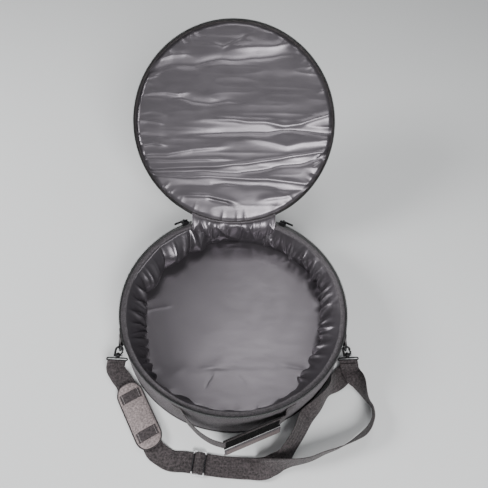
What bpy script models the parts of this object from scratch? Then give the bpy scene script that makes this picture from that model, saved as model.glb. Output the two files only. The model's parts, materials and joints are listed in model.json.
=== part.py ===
"""Round padded drum bag with a zipped lid, a carry handle and a clip-on shoulder strap.

The bag stands open on its base: X to the right, Y to the back where the lid is hinged, Z up.
The origin is the centre of the base's underside. All sizes are in metres.
"""

import bmesh
import bpy
from math import asin, atan2, cos, degrees, hypot, pi, radians, sin, sqrt
from mathutils import Matrix, Vector

# Clearances and drawing
SEAT_GAP = 0.0003
RUN_GAP = 0.0003
CUT_OVERRUN = 0.010
ROUND_SEGMENTS = 64
BEAD_SIDES = 6
BAR_SIDES = 12
LUG_SIDES = 14
POST_SIDES = 16
BARREL_SIDES = 20
ARC_STEP_DEG = 6.0
CROWN_STEPS = 12
BOW_STEPS = 14
LOOP_STEPS = 8
TAB_STEPS = 6
MERGE_DISTANCE = 0.00001

# Body of the bag
BAG_RADIUS = 0.240
WALL_HEIGHT = 0.093
ZIP_ABOVE_RIM = 0.013
CLOTH = 0.0018
BASE_FOAM = 0.008
WALL_FOAM = 0.007
LINING = 0.0012
PIPING_RADIUS = 0.0028
BINDING = 0.0015
FACING_DROP = 0.017
HINGE_INSET = 0.014
NOTCH_MARGIN = 0.009
FOLD_CLEARANCE = 0.0005
FOLD_HALF_LENGTH = 0.070
FOLD_FRONT_DEG = -150.0
FOLD_BACK_DEG = -30.0
FOLD_STEP_DEG = 12.0
OPEN_DEG = 139.6

# Lid
LID_FOAM = 0.007
TAPE_THICKNESS = 0.0012
TAPE_WIDTH = 0.0127
FLAP_MARGIN_DEG = 1.0
LINING_PUFF = 0.0015
LINING_COLUMNS = 8

# Zip chain, sliders and pulls
CHAIN_GAP = 0.0020
COIL_HEIGHT = 0.0037
COIL_THICKNESS = 0.0030
COIL_CHAMFER_SHARE = 0.2
ZIP_END_INSET = 0.004
SLIDER_LENGTH = 0.016
SLIDER_HEIGHT = 0.0116
SLIDER_PLATE = 0.0020
SLIDER_BRIDGE = 0.0012
SLIDER_BRIDGE_LENGTH = 0.007
SLIDER_LIP = 0.0010
SLIDER_NOSE_SHARE = 0.62
PULL_PIN_RADIUS = 0.0009
PULL_LUG = 0.0014
PULL_EYE_WALL = 0.0013
PULL_LENGTH = 0.024
PULL_WIDTH = 0.0056
PULL_THICKNESS = 0.0016
SLIDER_PARK_DEG = 4.0

# Strap hardware on each side wall
STRAP_WIDTH = 0.038
WEBBING = 0.0016
DRING_AZIMUTH_DEG = 17.5
DRING_BELOW_RIM = 0.025
DRING_BAR_RADIUS = 0.0020
DRING_SIDE_CLEARANCE = 0.002
TAB_WIDTH = 0.036
TAB_LEG = 0.018
HANG_SHARES = (0.407, 0.445, -0.798)
HOOK_WIRE = 0.00225
HOOK_MOUTH = 0.0045
HOOK_SHANK_LENGTH = 0.0113
HOOK_NOSE_DEG = 12.0
HOOK_SHOULDER_SHARE = 0.8
BARREL_RADIUS = 0.0045
BARREL_LENGTH = 0.0060
POST_RADIUS = 0.0020
POST_HEAD_RADIUS = 0.0029
POST_HEAD_HEIGHT = 0.0018
EYE_WIRE = 0.0015
EYE_SIDE_CLEARANCE = 0.0005
EYE_NECK = 0.0020
COLLAR_SHARE = 0.8
LOOP_LEG = 0.010
TUCK = 0.006
TUCK_OUT = 0.0048
GATE_THICKNESS = 0.0024
GATE_WIDTH = 0.0032
GATE_PIN_RADIUS = 0.0009
GATE_EYE_WALL = 0.0007
LUG = 0.0012
LUG_RADIUS = 0.0022

# Adjuster and shoulder pad
ADJUSTER_WIRE = 0.0015
ADJUSTER_PITCH = 0.0115
RUN_OUT_SHARES = (1.35, 2.4, 4.0)
RETURN_START_DEG = 35.0
RETURN_TURN_DEG = 235.0
RETURN_STEPS = 7
PAD_LENGTH = 0.140
PAD_WIDTH = 0.050
PAD_END_WIDTH = 0.036
PAD_TAPER = 0.022
PAD_BACKING = 0.0040
PAD_FACE = 0.0060
PAD_BEVEL_SHARE = 0.3
KEEPER_LENGTH = 0.020
KEEPER_INSET = 0.028

# Carry handle
HANDLE_BELOW_RIM = 0.023
HANDLE_WIDTH = 0.038
GRIP_CLOTH = 0.0025
GRIP_STRIP = 0.0010
GRIP_STRIP_HALF_SHARE = 0.36
GRIP_STRIP_LENGTH_SHARE = 0.94
GRIP_STRIP_MARGIN_SHARE = 0.12
GRIP_OVERHANG = 0.001
GRIP_FLAP_LENGTH = 0.030
GRIP_FLAP_DEG = 178.0

# Routes of the webbing in plan, as shares of the bag's radius, with heights as shares of the wall's
PAD_AZIMUTH_DEG = 209.8
PAD_SHIFT_SHARE = 0.361
ADJUSTER_CENTRE_SHARES = (-0.275, -1.238)
ADJUSTER_AIM_SHARES = (0.991, -0.135)
PAD_RUN_SHARE = 0.036
ADJUSTER_RUN_SHARES = (0.46, 0.70)
LEFT_DROP_SHARES = [
    ((-1.002, -0.527, 0.088), (0.90, 0.34, -0.16)),
]
PAD_TO_ADJUSTER_SHARES = [
    ((-0.578, -1.176, 0.036), (0.74, 0.67, 0.0)),
    ((-0.512, -1.210, 0.016), (0.40, 0.92, 0.0)),
]
OUTER_LAYER_SHARES = [
    ((0.130, -1.280, 0.043), (0.00, 1.00, 0.00)),
    ((0.185, -1.286, 0.053), (0.00, 1.00, 0.03)),
    ((0.235, -1.289, 0.125), (-0.05, 0.93, 0.35)),
    ((0.302, -1.280, 0.208), (-0.15, 0.64, 0.75)),
    ((0.378, -1.268, 0.238), (-0.16, 0.36, 0.92)),
    ((0.454, -1.256, 0.243), (-0.17, 0.16, 0.97)),
    ((0.530, -1.244, 0.222), (-0.19, 0.07, 0.98)),
    ((0.608, -1.227, 0.213), (-0.20, 0.01, 0.98)),
    ((0.736, -1.180, 0.213), (-0.23, -0.08, 0.97)),
    ((0.848, -1.145, 0.213), (-0.24, -0.16, 0.96)),
    ((0.965, -1.094, 0.213), (-0.20, -0.29, 0.93)),
    ((1.070, -1.032, 0.213), (-0.12, -0.41, 0.90)),
    ((1.138, -0.960, 0.213), (-0.13, -0.34, 0.93)),
    ((1.175, -0.883, 0.213), (-0.18, -0.29, 0.94)),
    ((1.176, -0.820, 0.213), (-0.16, -0.26, 0.95)),
    ((1.147, -0.765, 0.213), (-0.08, -0.22, 0.97)),
    ((1.122, -0.700, 0.225), (0.15, -0.15, 0.97)),
    ((1.100, -0.640, 0.242), (0.48, -0.05, 0.87)),
    ((1.085, -0.600, 0.250), (0.70, 0.00, 0.70)),
    ((1.062, -0.560, 0.222), (0.88, 0.02, 0.47)),
]
RETURN_LAYER_SHARES = [
    ((0.130, -1.278, 0.0135), (-0.01, 1.00, 0.00)),
    ((0.210, -1.276, 0.0135), (-0.02, 1.00, 0.00)),
    ((0.262, -1.270, 0.0150), (-0.06, 1.00, 0.02)),
    ((0.333, -1.244, 0.065), (-0.30, 0.90, 0.33)),
    ((0.402, -1.198, 0.161), (-0.52, 0.48, 0.70)),
    ((0.462, -1.125, 0.194), (-0.50, 0.36, 0.79)),
    ((0.546, -1.006, 0.177), (-0.60, 0.30, 0.74)),
    ((0.610, -0.896, 0.161), (-0.68, 0.38, 0.63)),
    ((0.700, -0.813, 0.177), (-0.40, 0.42, 0.81)),
    ((0.842, -0.660, 0.194), (-0.28, 0.24, 0.93)),
    ((0.900, -0.600, 0.130), (-0.68, 0.45, 0.55)),
    ((0.955, -0.550, 0.058), (-0.88, 0.46, 0.08)),
    ((1.005, -0.500, 0.060), (-0.94, 0.30, -0.12)),
]
HANDLE_LEG_DEG = 27.0
HANDLE_PATCH_DEG = 4.0
HANDLE_BEND_SHARE = 0.8
HANDLE_LEFT_SHARES = (-0.354, -1.002)
HANDLE_RIGHT_SHARES = (0.381, -0.980)
HANDLE_RIGHT_CORNER_SHARES = (0.402, -0.968)
HANDLE_BEND_SHARES = [(-0.262, -1.085), (-0.165, -1.142)]
GRIP_LEFT_SHARES = (-0.083, -1.167)
GRIP_RIGHT_SHARES = (0.368, -0.990)

# Long folds of the lid's lining: height, half width and place towards the lid's front, as shares
LID_FOLD_SHARES = [
    (0.018, 0.11, 0.634),
    (0.020, 0.11, 0.000),
    (0.017, 0.09, -0.383),
    (0.017, 0.09, -0.556),
    (0.014, 0.08, -0.773),
]

# Webbing's sampling
ROUTE_STEP = 0.011
FLOOR_LEVEL = SEAT_GAP + WEBBING / 2

# Levels worked out from the sizes above
ZIP_LINE_HEIGHT = WALL_HEIGHT + ZIP_ABOVE_RIM
DRING_HEIGHT = WALL_HEIGHT - DRING_BELOW_RIM
HANDLE_HEIGHT = WALL_HEIGHT - HANDLE_BELOW_RIM
HINGE_Y = BAG_RADIUS - HINGE_INSET
BODY_COIL_TOP = ZIP_LINE_HEIGHT - CHAIN_GAP / 2
BODY_TAPE_TOP = BODY_COIL_TOP - COIL_HEIGHT - SEAT_GAP
LID_COIL_LOW = ZIP_LINE_HEIGHT + CHAIN_GAP / 2
LID_TAPE_LOW = LID_COIL_LOW + COIL_HEIGHT + SEAT_GAP
LID_TAPE_TOP = LID_TAPE_LOW + TAPE_WIDTH
LID_PIPING_Z = LID_TAPE_TOP + SEAT_GAP + PIPING_RADIUS
PANEL_INNER = BAG_RADIUS - CLOTH
PIPING_TRACK = BAG_RADIUS - CLOTH / 2
FOAM_OUTER = PANEL_INNER - SEAT_GAP
FOAM_INNER = FOAM_OUTER - WALL_FOAM
LINING_OUTER = FOAM_INNER - SEAT_GAP
LINING_INNER = LINING_OUTER - LINING
DISC_RADIUS = PIPING_TRACK - PIPING_RADIUS - SEAT_GAP
TAPE_MID = BAG_RADIUS - CLOTH / 2
TAIL_REACH = hypot(PIPING_TRACK - HINGE_Y, LID_PIPING_Z - ZIP_LINE_HEIGHT) + PIPING_RADIUS
FOLD_INNER = TAIL_REACH + FOLD_CLEARANCE
FOLD_OUTER = FOLD_INNER + LINING
SILL_HEIGHT = ZIP_LINE_HEIGHT - FOLD_OUTER - SEAT_GAP
HINGE_HALF_CHORD = sqrt((BAG_RADIUS + PIPING_RADIUS) ** 2 - HINGE_Y ** 2)
NOTCH_HALF_WIDTH = HINGE_HALF_CHORD + NOTCH_MARGIN
ZIP_END_DEG = degrees(asin((NOTCH_HALF_WIDTH + ZIP_END_INSET) / BAG_RADIUS))

UP = Vector((0, 0, 1))


def clear_scene():
    """Remove what the file holds."""
    for item in list(bpy.data.objects):
        bpy.data.objects.remove(item, do_unlink=True)


def make_collection(name):
    """A collection of that name, linked to the scene."""
    collection = bpy.data.collections.new(name)
    bpy.context.scene.collection.children.link(collection)
    return collection


def finish(item, colour, roughness, metallic=0.0):
    """Give the piece its own Principled material."""
    material = bpy.data.materials.new(item.name + "_finish")
    material.use_nodes = True
    shader = material.node_tree.nodes["Principled BSDF"]
    shader.inputs["Base Color"].default_value = (*colour, 1.0)
    shader.inputs["Roughness"].default_value = roughness
    shader.inputs["Metallic"].default_value = metallic
    item.data.materials.clear()
    item.data.materials.append(material)
    return item


def outer_cloth(item):
    """Dark woven outer cloth."""
    return finish(item, (0.075, 0.078, 0.080), 0.85)


def satin(item):
    """Grey lining."""
    return finish(item, (0.170, 0.160, 0.180), 0.35)


def foam(item):
    """Grey padding foam."""
    return finish(item, (0.280, 0.280, 0.290), 0.95)


def webbing(item):
    """Dark warm grey webbing."""
    return finish(item, (0.105, 0.095, 0.095), 0.80)


def black_metal(item):
    """Black coated metal."""
    return finish(item, (0.020, 0.020, 0.022), 0.35, 0.8)


def bright_metal(item):
    """Nickel-plated metal."""
    return finish(item, (0.720, 0.720, 0.730), 0.25, 1.0)


def pad_cloth(item):
    """Light pinkish grey cloth of the shoulder pad."""
    return finish(item, (0.420, 0.370, 0.370), 0.90)


def zip_black(item):
    """Black zip tape and coil."""
    return finish(item, (0.025, 0.027, 0.028), 0.60)


def piece_from_bmesh(name, shape, collection):
    """Turn a bmesh into a named object with its faces pointing out."""
    bmesh.ops.recalc_face_normals(shape, faces=shape.faces)
    mesh = bpy.data.meshes.new(name)
    shape.to_mesh(mesh)
    shape.free()
    item = bpy.data.objects.new(name, mesh)
    collection.objects.link(item)
    return item


def smooth(item, angle_deg=35.0):
    """Shade the round faces smooth and keep the real edges sharp."""
    item.data.shade_smooth()
    item.data.set_sharp_from_angle(angle=radians(angle_deg))
    return item


def move_to(item, collection):
    """Put a new primitive in the given collection only."""
    for owner in list(item.users_collection):
        owner.objects.unlink(item)
    collection.objects.link(item)
    return item


def disc(name, radius, low, high, collection):
    """A flat round panel between two heights."""
    bpy.ops.mesh.primitive_cylinder_add(
        vertices=ROUND_SEGMENTS, radius=radius, depth=high - low, location=(0, 0, (low + high) / 2)
    )
    item = move_to(bpy.context.object, collection)
    item.name = name
    return smooth(item)


def bead_ring(name, track, height, bead, collection):
    """A round cord laid in a full circle."""
    bpy.ops.mesh.primitive_torus_add(
        major_radius=track,
        minor_radius=bead,
        major_segments=ROUND_SEGMENTS,
        minor_segments=BEAD_SIDES,
        location=(0, 0, height),
    )
    item = move_to(bpy.context.object, collection)
    item.name = name
    return smooth(item, 60.0)


def turned_ring(name, profile, collection):
    """Turn a closed profile of (radius, height) points round Z."""
    mesh = bpy.data.meshes.new(name)
    points = [(radius, 0, height) for radius, height in profile]
    edges = [(i, (i + 1) % len(points)) for i in range(len(points))]
    mesh.from_pydata(points, edges, [])
    item = bpy.data.objects.new(name, mesh)
    collection.objects.link(item)
    screw = item.modifiers.new("turn", "SCREW")
    screw.axis = "Z"
    screw.angle = 2 * pi
    screw.steps = ROUND_SEGMENTS
    screw.render_steps = ROUND_SEGMENTS
    screw.use_merge_vertices = True
    screw.merge_threshold = MERGE_DISTANCE
    screw.use_smooth_shade = False
    return item


def band_profile(inner, outer, low, high):
    """A rectangle that runs down its outer side."""
    return [(outer, high), (outer, low), (inner, low), (inner, high)]


def arc_band(name, profile, start_deg, end_deg, collection):
    """Sweep a closed (radius, height) profile round Z from one azimuth to another."""
    shape = bmesh.new()
    turn = Matrix.Rotation(radians(start_deg), 4, "Z")
    corners = [shape.verts.new(turn @ Vector((radius, 0, height))) for radius, height in profile]
    face = shape.faces.new(corners)
    steps = max(1, round(abs(end_deg - start_deg) / ARC_STEP_DEG))
    bmesh.ops.spin(
        shape,
        geom=list(shape.verts) + list(shape.edges) + [face],
        cent=(0, 0, 0),
        axis=(0, 0, 1),
        angle=radians(end_deg - start_deg),
        steps=steps,
    )
    return smooth(piece_from_bmesh(name, shape, collection))


def block(name, low, high, collection):
    """A box between two corners."""
    shape = bmesh.new()
    bmesh.ops.create_cube(shape, size=1.0)
    for corner in shape.verts:
        corner.co = Vector(
            ((low[i] + high[i]) / 2 + corner.co[i] * (high[i] - low[i])) for i in range(3)
        )
    return piece_from_bmesh(name, shape, collection)


def rod(name, start, end, radius, sides, collection):
    """A round bar between two points."""
    start = Vector(start)
    end = Vector(end)
    shape = bmesh.new()
    bmesh.ops.create_cone(
        shape,
        cap_ends=True,
        segments=sides,
        radius1=radius,
        radius2=radius,
        depth=(end - start).length,
    )
    turn = (end - start).to_track_quat("Z", "Y").to_matrix().to_4x4()
    bmesh.ops.transform(
        shape, matrix=Matrix.Translation((start + end) / 2) @ turn, verts=shape.verts
    )
    return smooth(piece_from_bmesh(name, shape, collection))


def wire(name, points, radius, closed, collection, resolution=2):
    """A round wire along the points, made a mesh with its end caps welded."""
    curve = bpy.data.curves.new(name, "CURVE")
    curve.dimensions = "3D"
    curve.bevel_depth = radius
    curve.bevel_resolution = resolution
    curve.use_fill_caps = True
    spline = curve.splines.new("POLY")
    spline.points.add(len(points) - 1)
    for target, point in zip(spline.points, points):
        target.co = (*point, 1.0)
    spline.use_cyclic_u = closed
    guide = bpy.data.objects.new(name + "_curve", curve)
    collection.objects.link(guide)
    evaluated = guide.evaluated_get(bpy.context.evaluated_depsgraph_get())
    mesh = bpy.data.meshes.new_from_object(evaluated)
    bpy.data.objects.remove(guide, do_unlink=True)
    shape = bmesh.new()
    shape.from_mesh(mesh)
    bpy.data.meshes.remove(mesh)
    bmesh.ops.remove_doubles(shape, verts=shape.verts, dist=MERGE_DISTANCE)
    return smooth(piece_from_bmesh(name, shape, collection), 50.0)


def place(item, frame):
    """Set the piece's place and turn."""
    item.matrix_world = frame
    return item


def combine(item, others, operation, cutters):
    """Join or cut with other solids, which stay as hidden guides."""
    for other in others:
        move_to(other, cutters)
        other.hide_render = True
        other.display_type = "WIRE"
        step = item.modifiers.new(other.name, "BOOLEAN")
        step.operation = operation
        step.object = other
        step.solver = "EXACT"
    return item


def smooth_route(stations, step):
    """Points and width directions along a smooth curve through the stations."""
    spans = [(far[0] - near[0]).length for near, far in zip(stations, stations[1:])]
    last = len(spans)
    found = []
    for i, span in enumerate(spans):
        count = max(1, round(span / step))
        slopes = [[station_slope(stations, spans, k, j) for j in range(2)] for k in (i, i + 1)]
        for k in range(count):
            t = k / count
            found.append(
                tuple(
                    between(stations[i][j], stations[i + 1][j], slopes[0][j], slopes[1][j], span, t)
                    for j in range(2)
                )
            )
    found.append(stations[last])
    return found


def station_slope(stations, spans, i, j):
    """Change per metre at a station: its neighbours' slopes, the shorter span counting more."""
    if i == 0:
        return (stations[1][j] - stations[0][j]) / spans[0]
    if i == len(spans):
        return (stations[i][j] - stations[i - 1][j]) / spans[-1]
    back = (stations[i][j] - stations[i - 1][j]) / spans[i - 1]
    ahead = (stations[i + 1][j] - stations[i][j]) / spans[i]
    return (back * spans[i] + ahead * spans[i - 1]) / (spans[i - 1] + spans[i])


def between(here, there, slope_here, slope_there, span, t):
    """Cubic from here to there with the given slopes at its ends."""
    rise = t * t * (3 - 2 * t)
    start = t * (1 - t) ** 2
    end = t * t * (t - 1)
    return here + (there - here) * rise + (slope_here * start + slope_there * end) * span


def ribbon(name, stations, width, thickness, collection):
    """Flat webbing along (point, width direction) stations, never lower than the floor.

    An open strip is given its thickness.
    """
    shape = bmesh.new()
    rows = []
    last = len(stations) - 1
    for i, (point, across) in enumerate(stations):
        along = (stations[min(i + 1, last)][0] - stations[max(i - 1, 0)][0]).normalized()
        side = (across - along * across.dot(along)).normalized() * (width / 2)
        facing = along.cross(side).normalized()
        lowest = SEAT_GAP + abs(side.z) + abs(facing.z) * thickness / 2
        point = Vector((point.x, point.y, max(point.z, lowest)))
        rows.append((shape.verts.new(point - side), shape.verts.new(point + side)))
    for near, far in zip(rows, rows[1:]):
        shape.faces.new((near[0], near[1], far[1], far[0]))
    item = piece_from_bmesh(name, shape, collection)
    wall = item.modifiers.new("thickness", "SOLIDIFY")
    wall.thickness = thickness
    wall.offset = 0.0
    wall.use_even_offset = True
    return item


def polar(radius, azimuth_deg, height):
    """A point at a radius, azimuth and height."""
    angle = radians(azimuth_deg)
    return Vector((radius * cos(angle), radius * sin(angle), height))


def plan(shares, height):
    """A point in plan given as shares of the bag's radius."""
    return Vector((shares[0] * BAG_RADIUS, shares[1] * BAG_RADIUS, height))


def route_station(entry):
    """A hand-chosen station: shares of the bag's radius and of the wall's height, and a direction."""
    (x, y, height), across = entry
    return plan((x, y), height * WALL_HEIGHT), Vector(across).normalized()


def base_pieces(bag):
    """Outer base, its foam, the lining on it and the piping in the seam round it."""
    foam_low = CLOTH + SEAT_GAP
    lining_low = foam_low + BASE_FOAM + SEAT_GAP
    outer_cloth(disc("base_panel", DISC_RADIUS, 0.0, CLOTH, bag))
    foam(disc("base_foam", DISC_RADIUS, foam_low, foam_low + BASE_FOAM, bag))
    satin(disc("base_lining", LINING_INNER - SEAT_GAP, lining_low, lining_low + LINING, bag))
    outer_cloth(bead_ring("base_piping", PIPING_TRACK, SEAT_GAP + PIPING_RADIUS, PIPING_RADIUS, bag))


def hinge_notch(cutters):
    """The gap at the back where the wall is low and the lid folds over."""
    return block(
        "hinge_notch",
        (-NOTCH_HALF_WIDTH, HINGE_Y - BAG_RADIUS / 2, SILL_HEIGHT),
        (NOTCH_HALF_WIDTH, BAG_RADIUS + CUT_OVERRUN, ZIP_LINE_HEIGHT + CUT_OVERRUN),
        cutters,
    )


def wall_pieces(bag, cutters):
    """Outer wall, its foam, the lining inside and the facing that covers the top seam."""
    notch = hinge_notch(cutters)
    panel_low = SEAT_GAP * 2 + PIPING_RADIUS * 2
    foam_low = CLOTH + BASE_FOAM + SEAT_GAP * 2
    facing_inner = LINING_INNER - SEAT_GAP - BINDING
    facing_top = WALL_HEIGHT + SEAT_GAP + BINDING
    facing = [
        (FOAM_OUTER, facing_top),
        (FOAM_OUTER, WALL_HEIGHT + SEAT_GAP),
        (facing_inner + BINDING, WALL_HEIGHT + SEAT_GAP),
        (facing_inner + BINDING, WALL_HEIGHT - FACING_DROP),
        (facing_inner, WALL_HEIGHT - FACING_DROP),
        (facing_inner, facing_top),
    ]
    rings = [
        (outer_cloth, "wall_panel", band_profile(PANEL_INNER, BAG_RADIUS, panel_low, WALL_HEIGHT)),
        (foam, "wall_foam", band_profile(FOAM_INNER, FOAM_OUTER, foam_low, WALL_HEIGHT)),
        (satin, "wall_lining", band_profile(LINING_INNER, LINING_OUTER, foam_low, WALL_HEIGHT)),
        (outer_cloth, "rim_facing", facing),
    ]
    for paint, name, profile in rings:
        ring = paint(turned_ring(name, profile, bag))
        combine(ring, [notch], "DIFFERENCE", cutters)


def zip_chain(bag):
    """The body's half of the zip: its tape above the wall and the coil along the tape's edge."""
    start = 90 + ZIP_END_DEG
    end = 450 - ZIP_END_DEG
    tape = band_profile(
        TAPE_MID - TAPE_THICKNESS / 2,
        TAPE_MID + TAPE_THICKNESS / 2,
        WALL_HEIGHT + SEAT_GAP,
        BODY_TAPE_TOP,
    )
    zip_black(arc_band("body_zip_tape", tape, start, end, bag))
    coil = coil_profile(BODY_TAPE_TOP + SEAT_GAP, BODY_COIL_TOP)
    zip_black(arc_band("body_zip_coil", coil, start, end, bag))


def coil_profile(low, high):
    """The coil's section: a bead with chamfered edges."""
    inner = TAPE_MID - COIL_THICKNESS / 2
    outer = TAPE_MID + COIL_THICKNESS / 2
    chamfer = COIL_THICKNESS * COIL_CHAMFER_SHARE
    return [
        (outer, high - chamfer),
        (outer, low + chamfer),
        (outer - chamfer, low),
        (inner + chamfer, low),
        (inner, low + chamfer),
        (inner, high - chamfer),
        (inner + chamfer, high),
        (outer - chamfer, high),
    ]


def hinge_fold(bag, cutters):
    """Lining gathered under the lid's lower edge: a gutter about the hinge line, kept inside the bag."""
    shape = bmesh.new()
    count = round((FOLD_BACK_DEG - FOLD_FRONT_DEG) / FOLD_STEP_DEG)
    angles = [
        radians(FOLD_FRONT_DEG + (FOLD_BACK_DEG - FOLD_FRONT_DEG) * i / count)
        for i in range(count + 1)
    ]
    outline = [(FOLD_INNER * cos(angle), FOLD_INNER * sin(angle)) for angle in angles]
    outline += [(FOLD_OUTER * cos(angle), FOLD_OUTER * sin(angle)) for angle in reversed(angles)]
    ends = []
    for x in (-FOLD_HALF_LENGTH, FOLD_HALF_LENGTH):
        ends.append(
            [shape.verts.new((x, HINGE_Y + y, ZIP_LINE_HEIGHT + z)) for y, z in outline]
        )
    shape.faces.new(ends[0])
    shape.faces.new(ends[1])
    for i in range(len(outline)):
        j = (i + 1) % len(outline)
        shape.faces.new((ends[0][i], ends[0][j], ends[1][j], ends[1][i]))
    item = satin(smooth(piece_from_bmesh("hinge_fold", shape, bag)))
    inside = disc("inside_of_wall", PANEL_INNER - SEAT_GAP, 0.0, ZIP_LINE_HEIGHT, cutters)
    combine(item, [inside], "INTERSECT", cutters)


def about_hinge(name, collection):
    """An empty on the hinge line that holds the lid at its open angle."""
    pivot = bpy.data.objects.new(name, None)
    collection.objects.link(pivot)
    turn = Matrix.Rotation(radians(-OPEN_DEG), 4, "X")
    pivot.matrix_world = Matrix.Translation((0, HINGE_Y, ZIP_LINE_HEIGHT)) @ turn
    return pivot


def fold_depth(x, y, radius):
    """How far the lid's lining hangs at a point: a puff and long folds that die out at its edge."""
    depth = LINING_PUFF
    for height, half_width, centre in LID_FOLD_SHARES:
        away = abs(-y / radius - centre) / half_width
        if away < 1:
            depth += height * BAG_RADIUS * (1 + cos(pi * away)) / 2
    return depth * (1 - (hypot(x, y) / radius) ** 4)


def folded_lining(name, radius, low, collection):
    """A round sheet of lining whose rows hang in folds, given its thickness upwards."""
    shape = bmesh.new()
    rows = ROUND_SEGMENTS // 2
    lines = []
    for row in range(rows + 1):
        tilt = pi * row / rows - pi / 2
        y = radius * sin(tilt)
        reach = radius * cos(tilt)
        shares = [2 * i / LINING_COLUMNS - 1 for i in range(LINING_COLUMNS + 1)]
        across = [share * reach for share in shares] if 0 < row < rows else [0.0]
        lines.append([shape.verts.new((x, y, low - fold_depth(x, y, radius))) for x in across])
    for near, far in zip(lines, lines[1:]):
        for i in range(LINING_COLUMNS):
            corners = [near[min(k, len(near) - 1)] for k in (i, i + 1)]
            corners += [far[min(k, len(far) - 1)] for k in (i + 1, i)]
            shape.faces.new(list(dict.fromkeys(corners)))
    grown = bmesh.ops.extrude_face_region(shape, geom=list(shape.faces))
    moved = [part for part in grown["geom"] if isinstance(part, bmesh.types.BMVert)]
    bmesh.ops.translate(shape, vec=(0, 0, LINING), verts=moved)
    return smooth(piece_from_bmesh(name, shape, collection))


def lid_pieces(bag):
    """The lid, drawn closed and then held open by its pivot."""
    panel_low = LID_PIPING_Z + SEAT_GAP
    foam_low = panel_low - SEAT_GAP - LID_FOAM
    lining_low = foam_low - SEAT_GAP - LINING
    start = 90 + ZIP_END_DEG
    end = 450 - ZIP_END_DEG
    coil_inset = SLIDER_PARK_DEG + degrees(SLIDER_LENGTH / BAG_RADIUS)
    flap_half = ZIP_END_DEG - FLAP_MARGIN_DEG
    coil = coil_profile(LID_COIL_LOW, LID_COIL_LOW + COIL_HEIGHT)
    tape = band_profile(
        TAPE_MID - TAPE_THICKNESS / 2, TAPE_MID + TAPE_THICKNESS / 2, LID_TAPE_LOW, LID_TAPE_TOP
    )
    flap = band_profile(
        TAPE_MID - TAPE_THICKNESS / 2, TAPE_MID + TAPE_THICKNESS / 2, LID_COIL_LOW, LID_TAPE_TOP
    )
    pieces = [
        satin(folded_lining("lid_lining", FOAM_OUTER, lining_low, bag)),
        foam(disc("lid_foam", DISC_RADIUS, foam_low, foam_low + LID_FOAM, bag)),
        outer_cloth(disc("lid_panel", DISC_RADIUS, panel_low, panel_low + CLOTH, bag)),
        outer_cloth(bead_ring("lid_piping", PIPING_TRACK, LID_PIPING_Z, PIPING_RADIUS, bag)),
        zip_black(arc_band("lid_zip_tape", tape, start, end, bag)),
        zip_black(arc_band("lid_zip_coil", coil, start + coil_inset, end - coil_inset, bag)),
        outer_cloth(arc_band("lid_hinge_flap", flap, 90 - flap_half, 90 + flap_half, bag)),
    ]
    pivot = about_hinge("lid_pivot", bag)
    closed = Matrix.Translation((0, -HINGE_Y, -ZIP_LINE_HEIGHT))
    for item in pieces:
        item.data.transform(closed @ item.matrix_basis)
        item.matrix_basis = Matrix.Identity(4)
        item.parent = pivot


def slider_frame(azimuth_deg):
    """X outwards, Y along the zip, Z up, with the origin on the bag's axis."""
    return Matrix.Rotation(radians(azimuth_deg), 4, "Z") @ Matrix.Translation((0, 0, ZIP_LINE_HEIGHT))


def slider(name, azimuth_deg, bag, cutters):
    """Two plates with curved lips, joined by a bridge between the coils, with lugs for the pull's pin."""
    front = TAPE_MID + COIL_THICKNESS / 2 + RUN_GAP * 2
    back = TAPE_MID - COIL_THICKNESS / 2 - RUN_GAP * 2
    half_height = SLIDER_HEIGHT / 2
    half_length = SLIDER_LENGTH / 2
    lug_out = front + SLIDER_PLATE + PULL_PIN_RADIUS * 2 + PULL_EYE_WALL + RUN_GAP
    pin_at = pull_pin_radius()
    lip_in = TAPE_MID + TAPE_THICKNESS / 2 + RUN_GAP
    body = plate_with_nose(name, front, front + SLIDER_PLATE, half_length, half_height, bag)
    others = [
        plate_with_nose(name + "_back", back - SLIDER_PLATE, back, half_length, half_height, cutters),
        block(
            name + "_bridge",
            (back - SLIDER_PLATE / 2, -SLIDER_BRIDGE_LENGTH / 2, -SLIDER_BRIDGE / 2),
            (front + SLIDER_PLATE / 2, SLIDER_BRIDGE_LENGTH / 2, SLIDER_BRIDGE / 2),
            cutters,
        ),
    ]
    for side in (-1, 1):
        edge = sorted((side * half_height, side * (half_height - SLIDER_LIP)))
        others.append(
            block(
                f"{name}_lip_{side}",
                (lip_in, -half_length * SLIDER_NOSE_SHARE, edge[0]),
                (front + SLIDER_PLATE / 2, half_length * SLIDER_NOSE_SHARE, edge[1]),
                cutters,
            )
        )
        lug = sorted((side * (PULL_WIDTH / 2 + RUN_GAP), side * (PULL_WIDTH / 2 + RUN_GAP + PULL_LUG)))
        others.append(
            block(
                f"{name}_lug_{side}",
                (front + SLIDER_PLATE / 2, -PULL_PIN_RADIUS * 2, lug[0]),
                (lug_out, PULL_PIN_RADIUS * 2, lug[1]),
                cutters,
            )
        )
    pin_half = PULL_WIDTH / 2 + RUN_GAP + PULL_LUG / 2
    pin_ends = ((pin_at, 0, -pin_half), (pin_at, 0, pin_half))
    others.append(rod(f"{name}_pin", *pin_ends, PULL_PIN_RADIUS, BAR_SIDES, cutters))
    for other in others:
        place(other, slider_frame(azimuth_deg))
    combine(body, others, "UNION", cutters)
    return black_metal(place(body, slider_frame(azimuth_deg)))


def pull_pin_radius():
    """How far out from the bag's axis the pull's pin stands."""
    front = TAPE_MID + COIL_THICKNESS / 2 + RUN_GAP * 2 + SLIDER_PLATE
    return front + RUN_GAP + PULL_EYE_WALL + RUN_GAP + PULL_PIN_RADIUS


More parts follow.
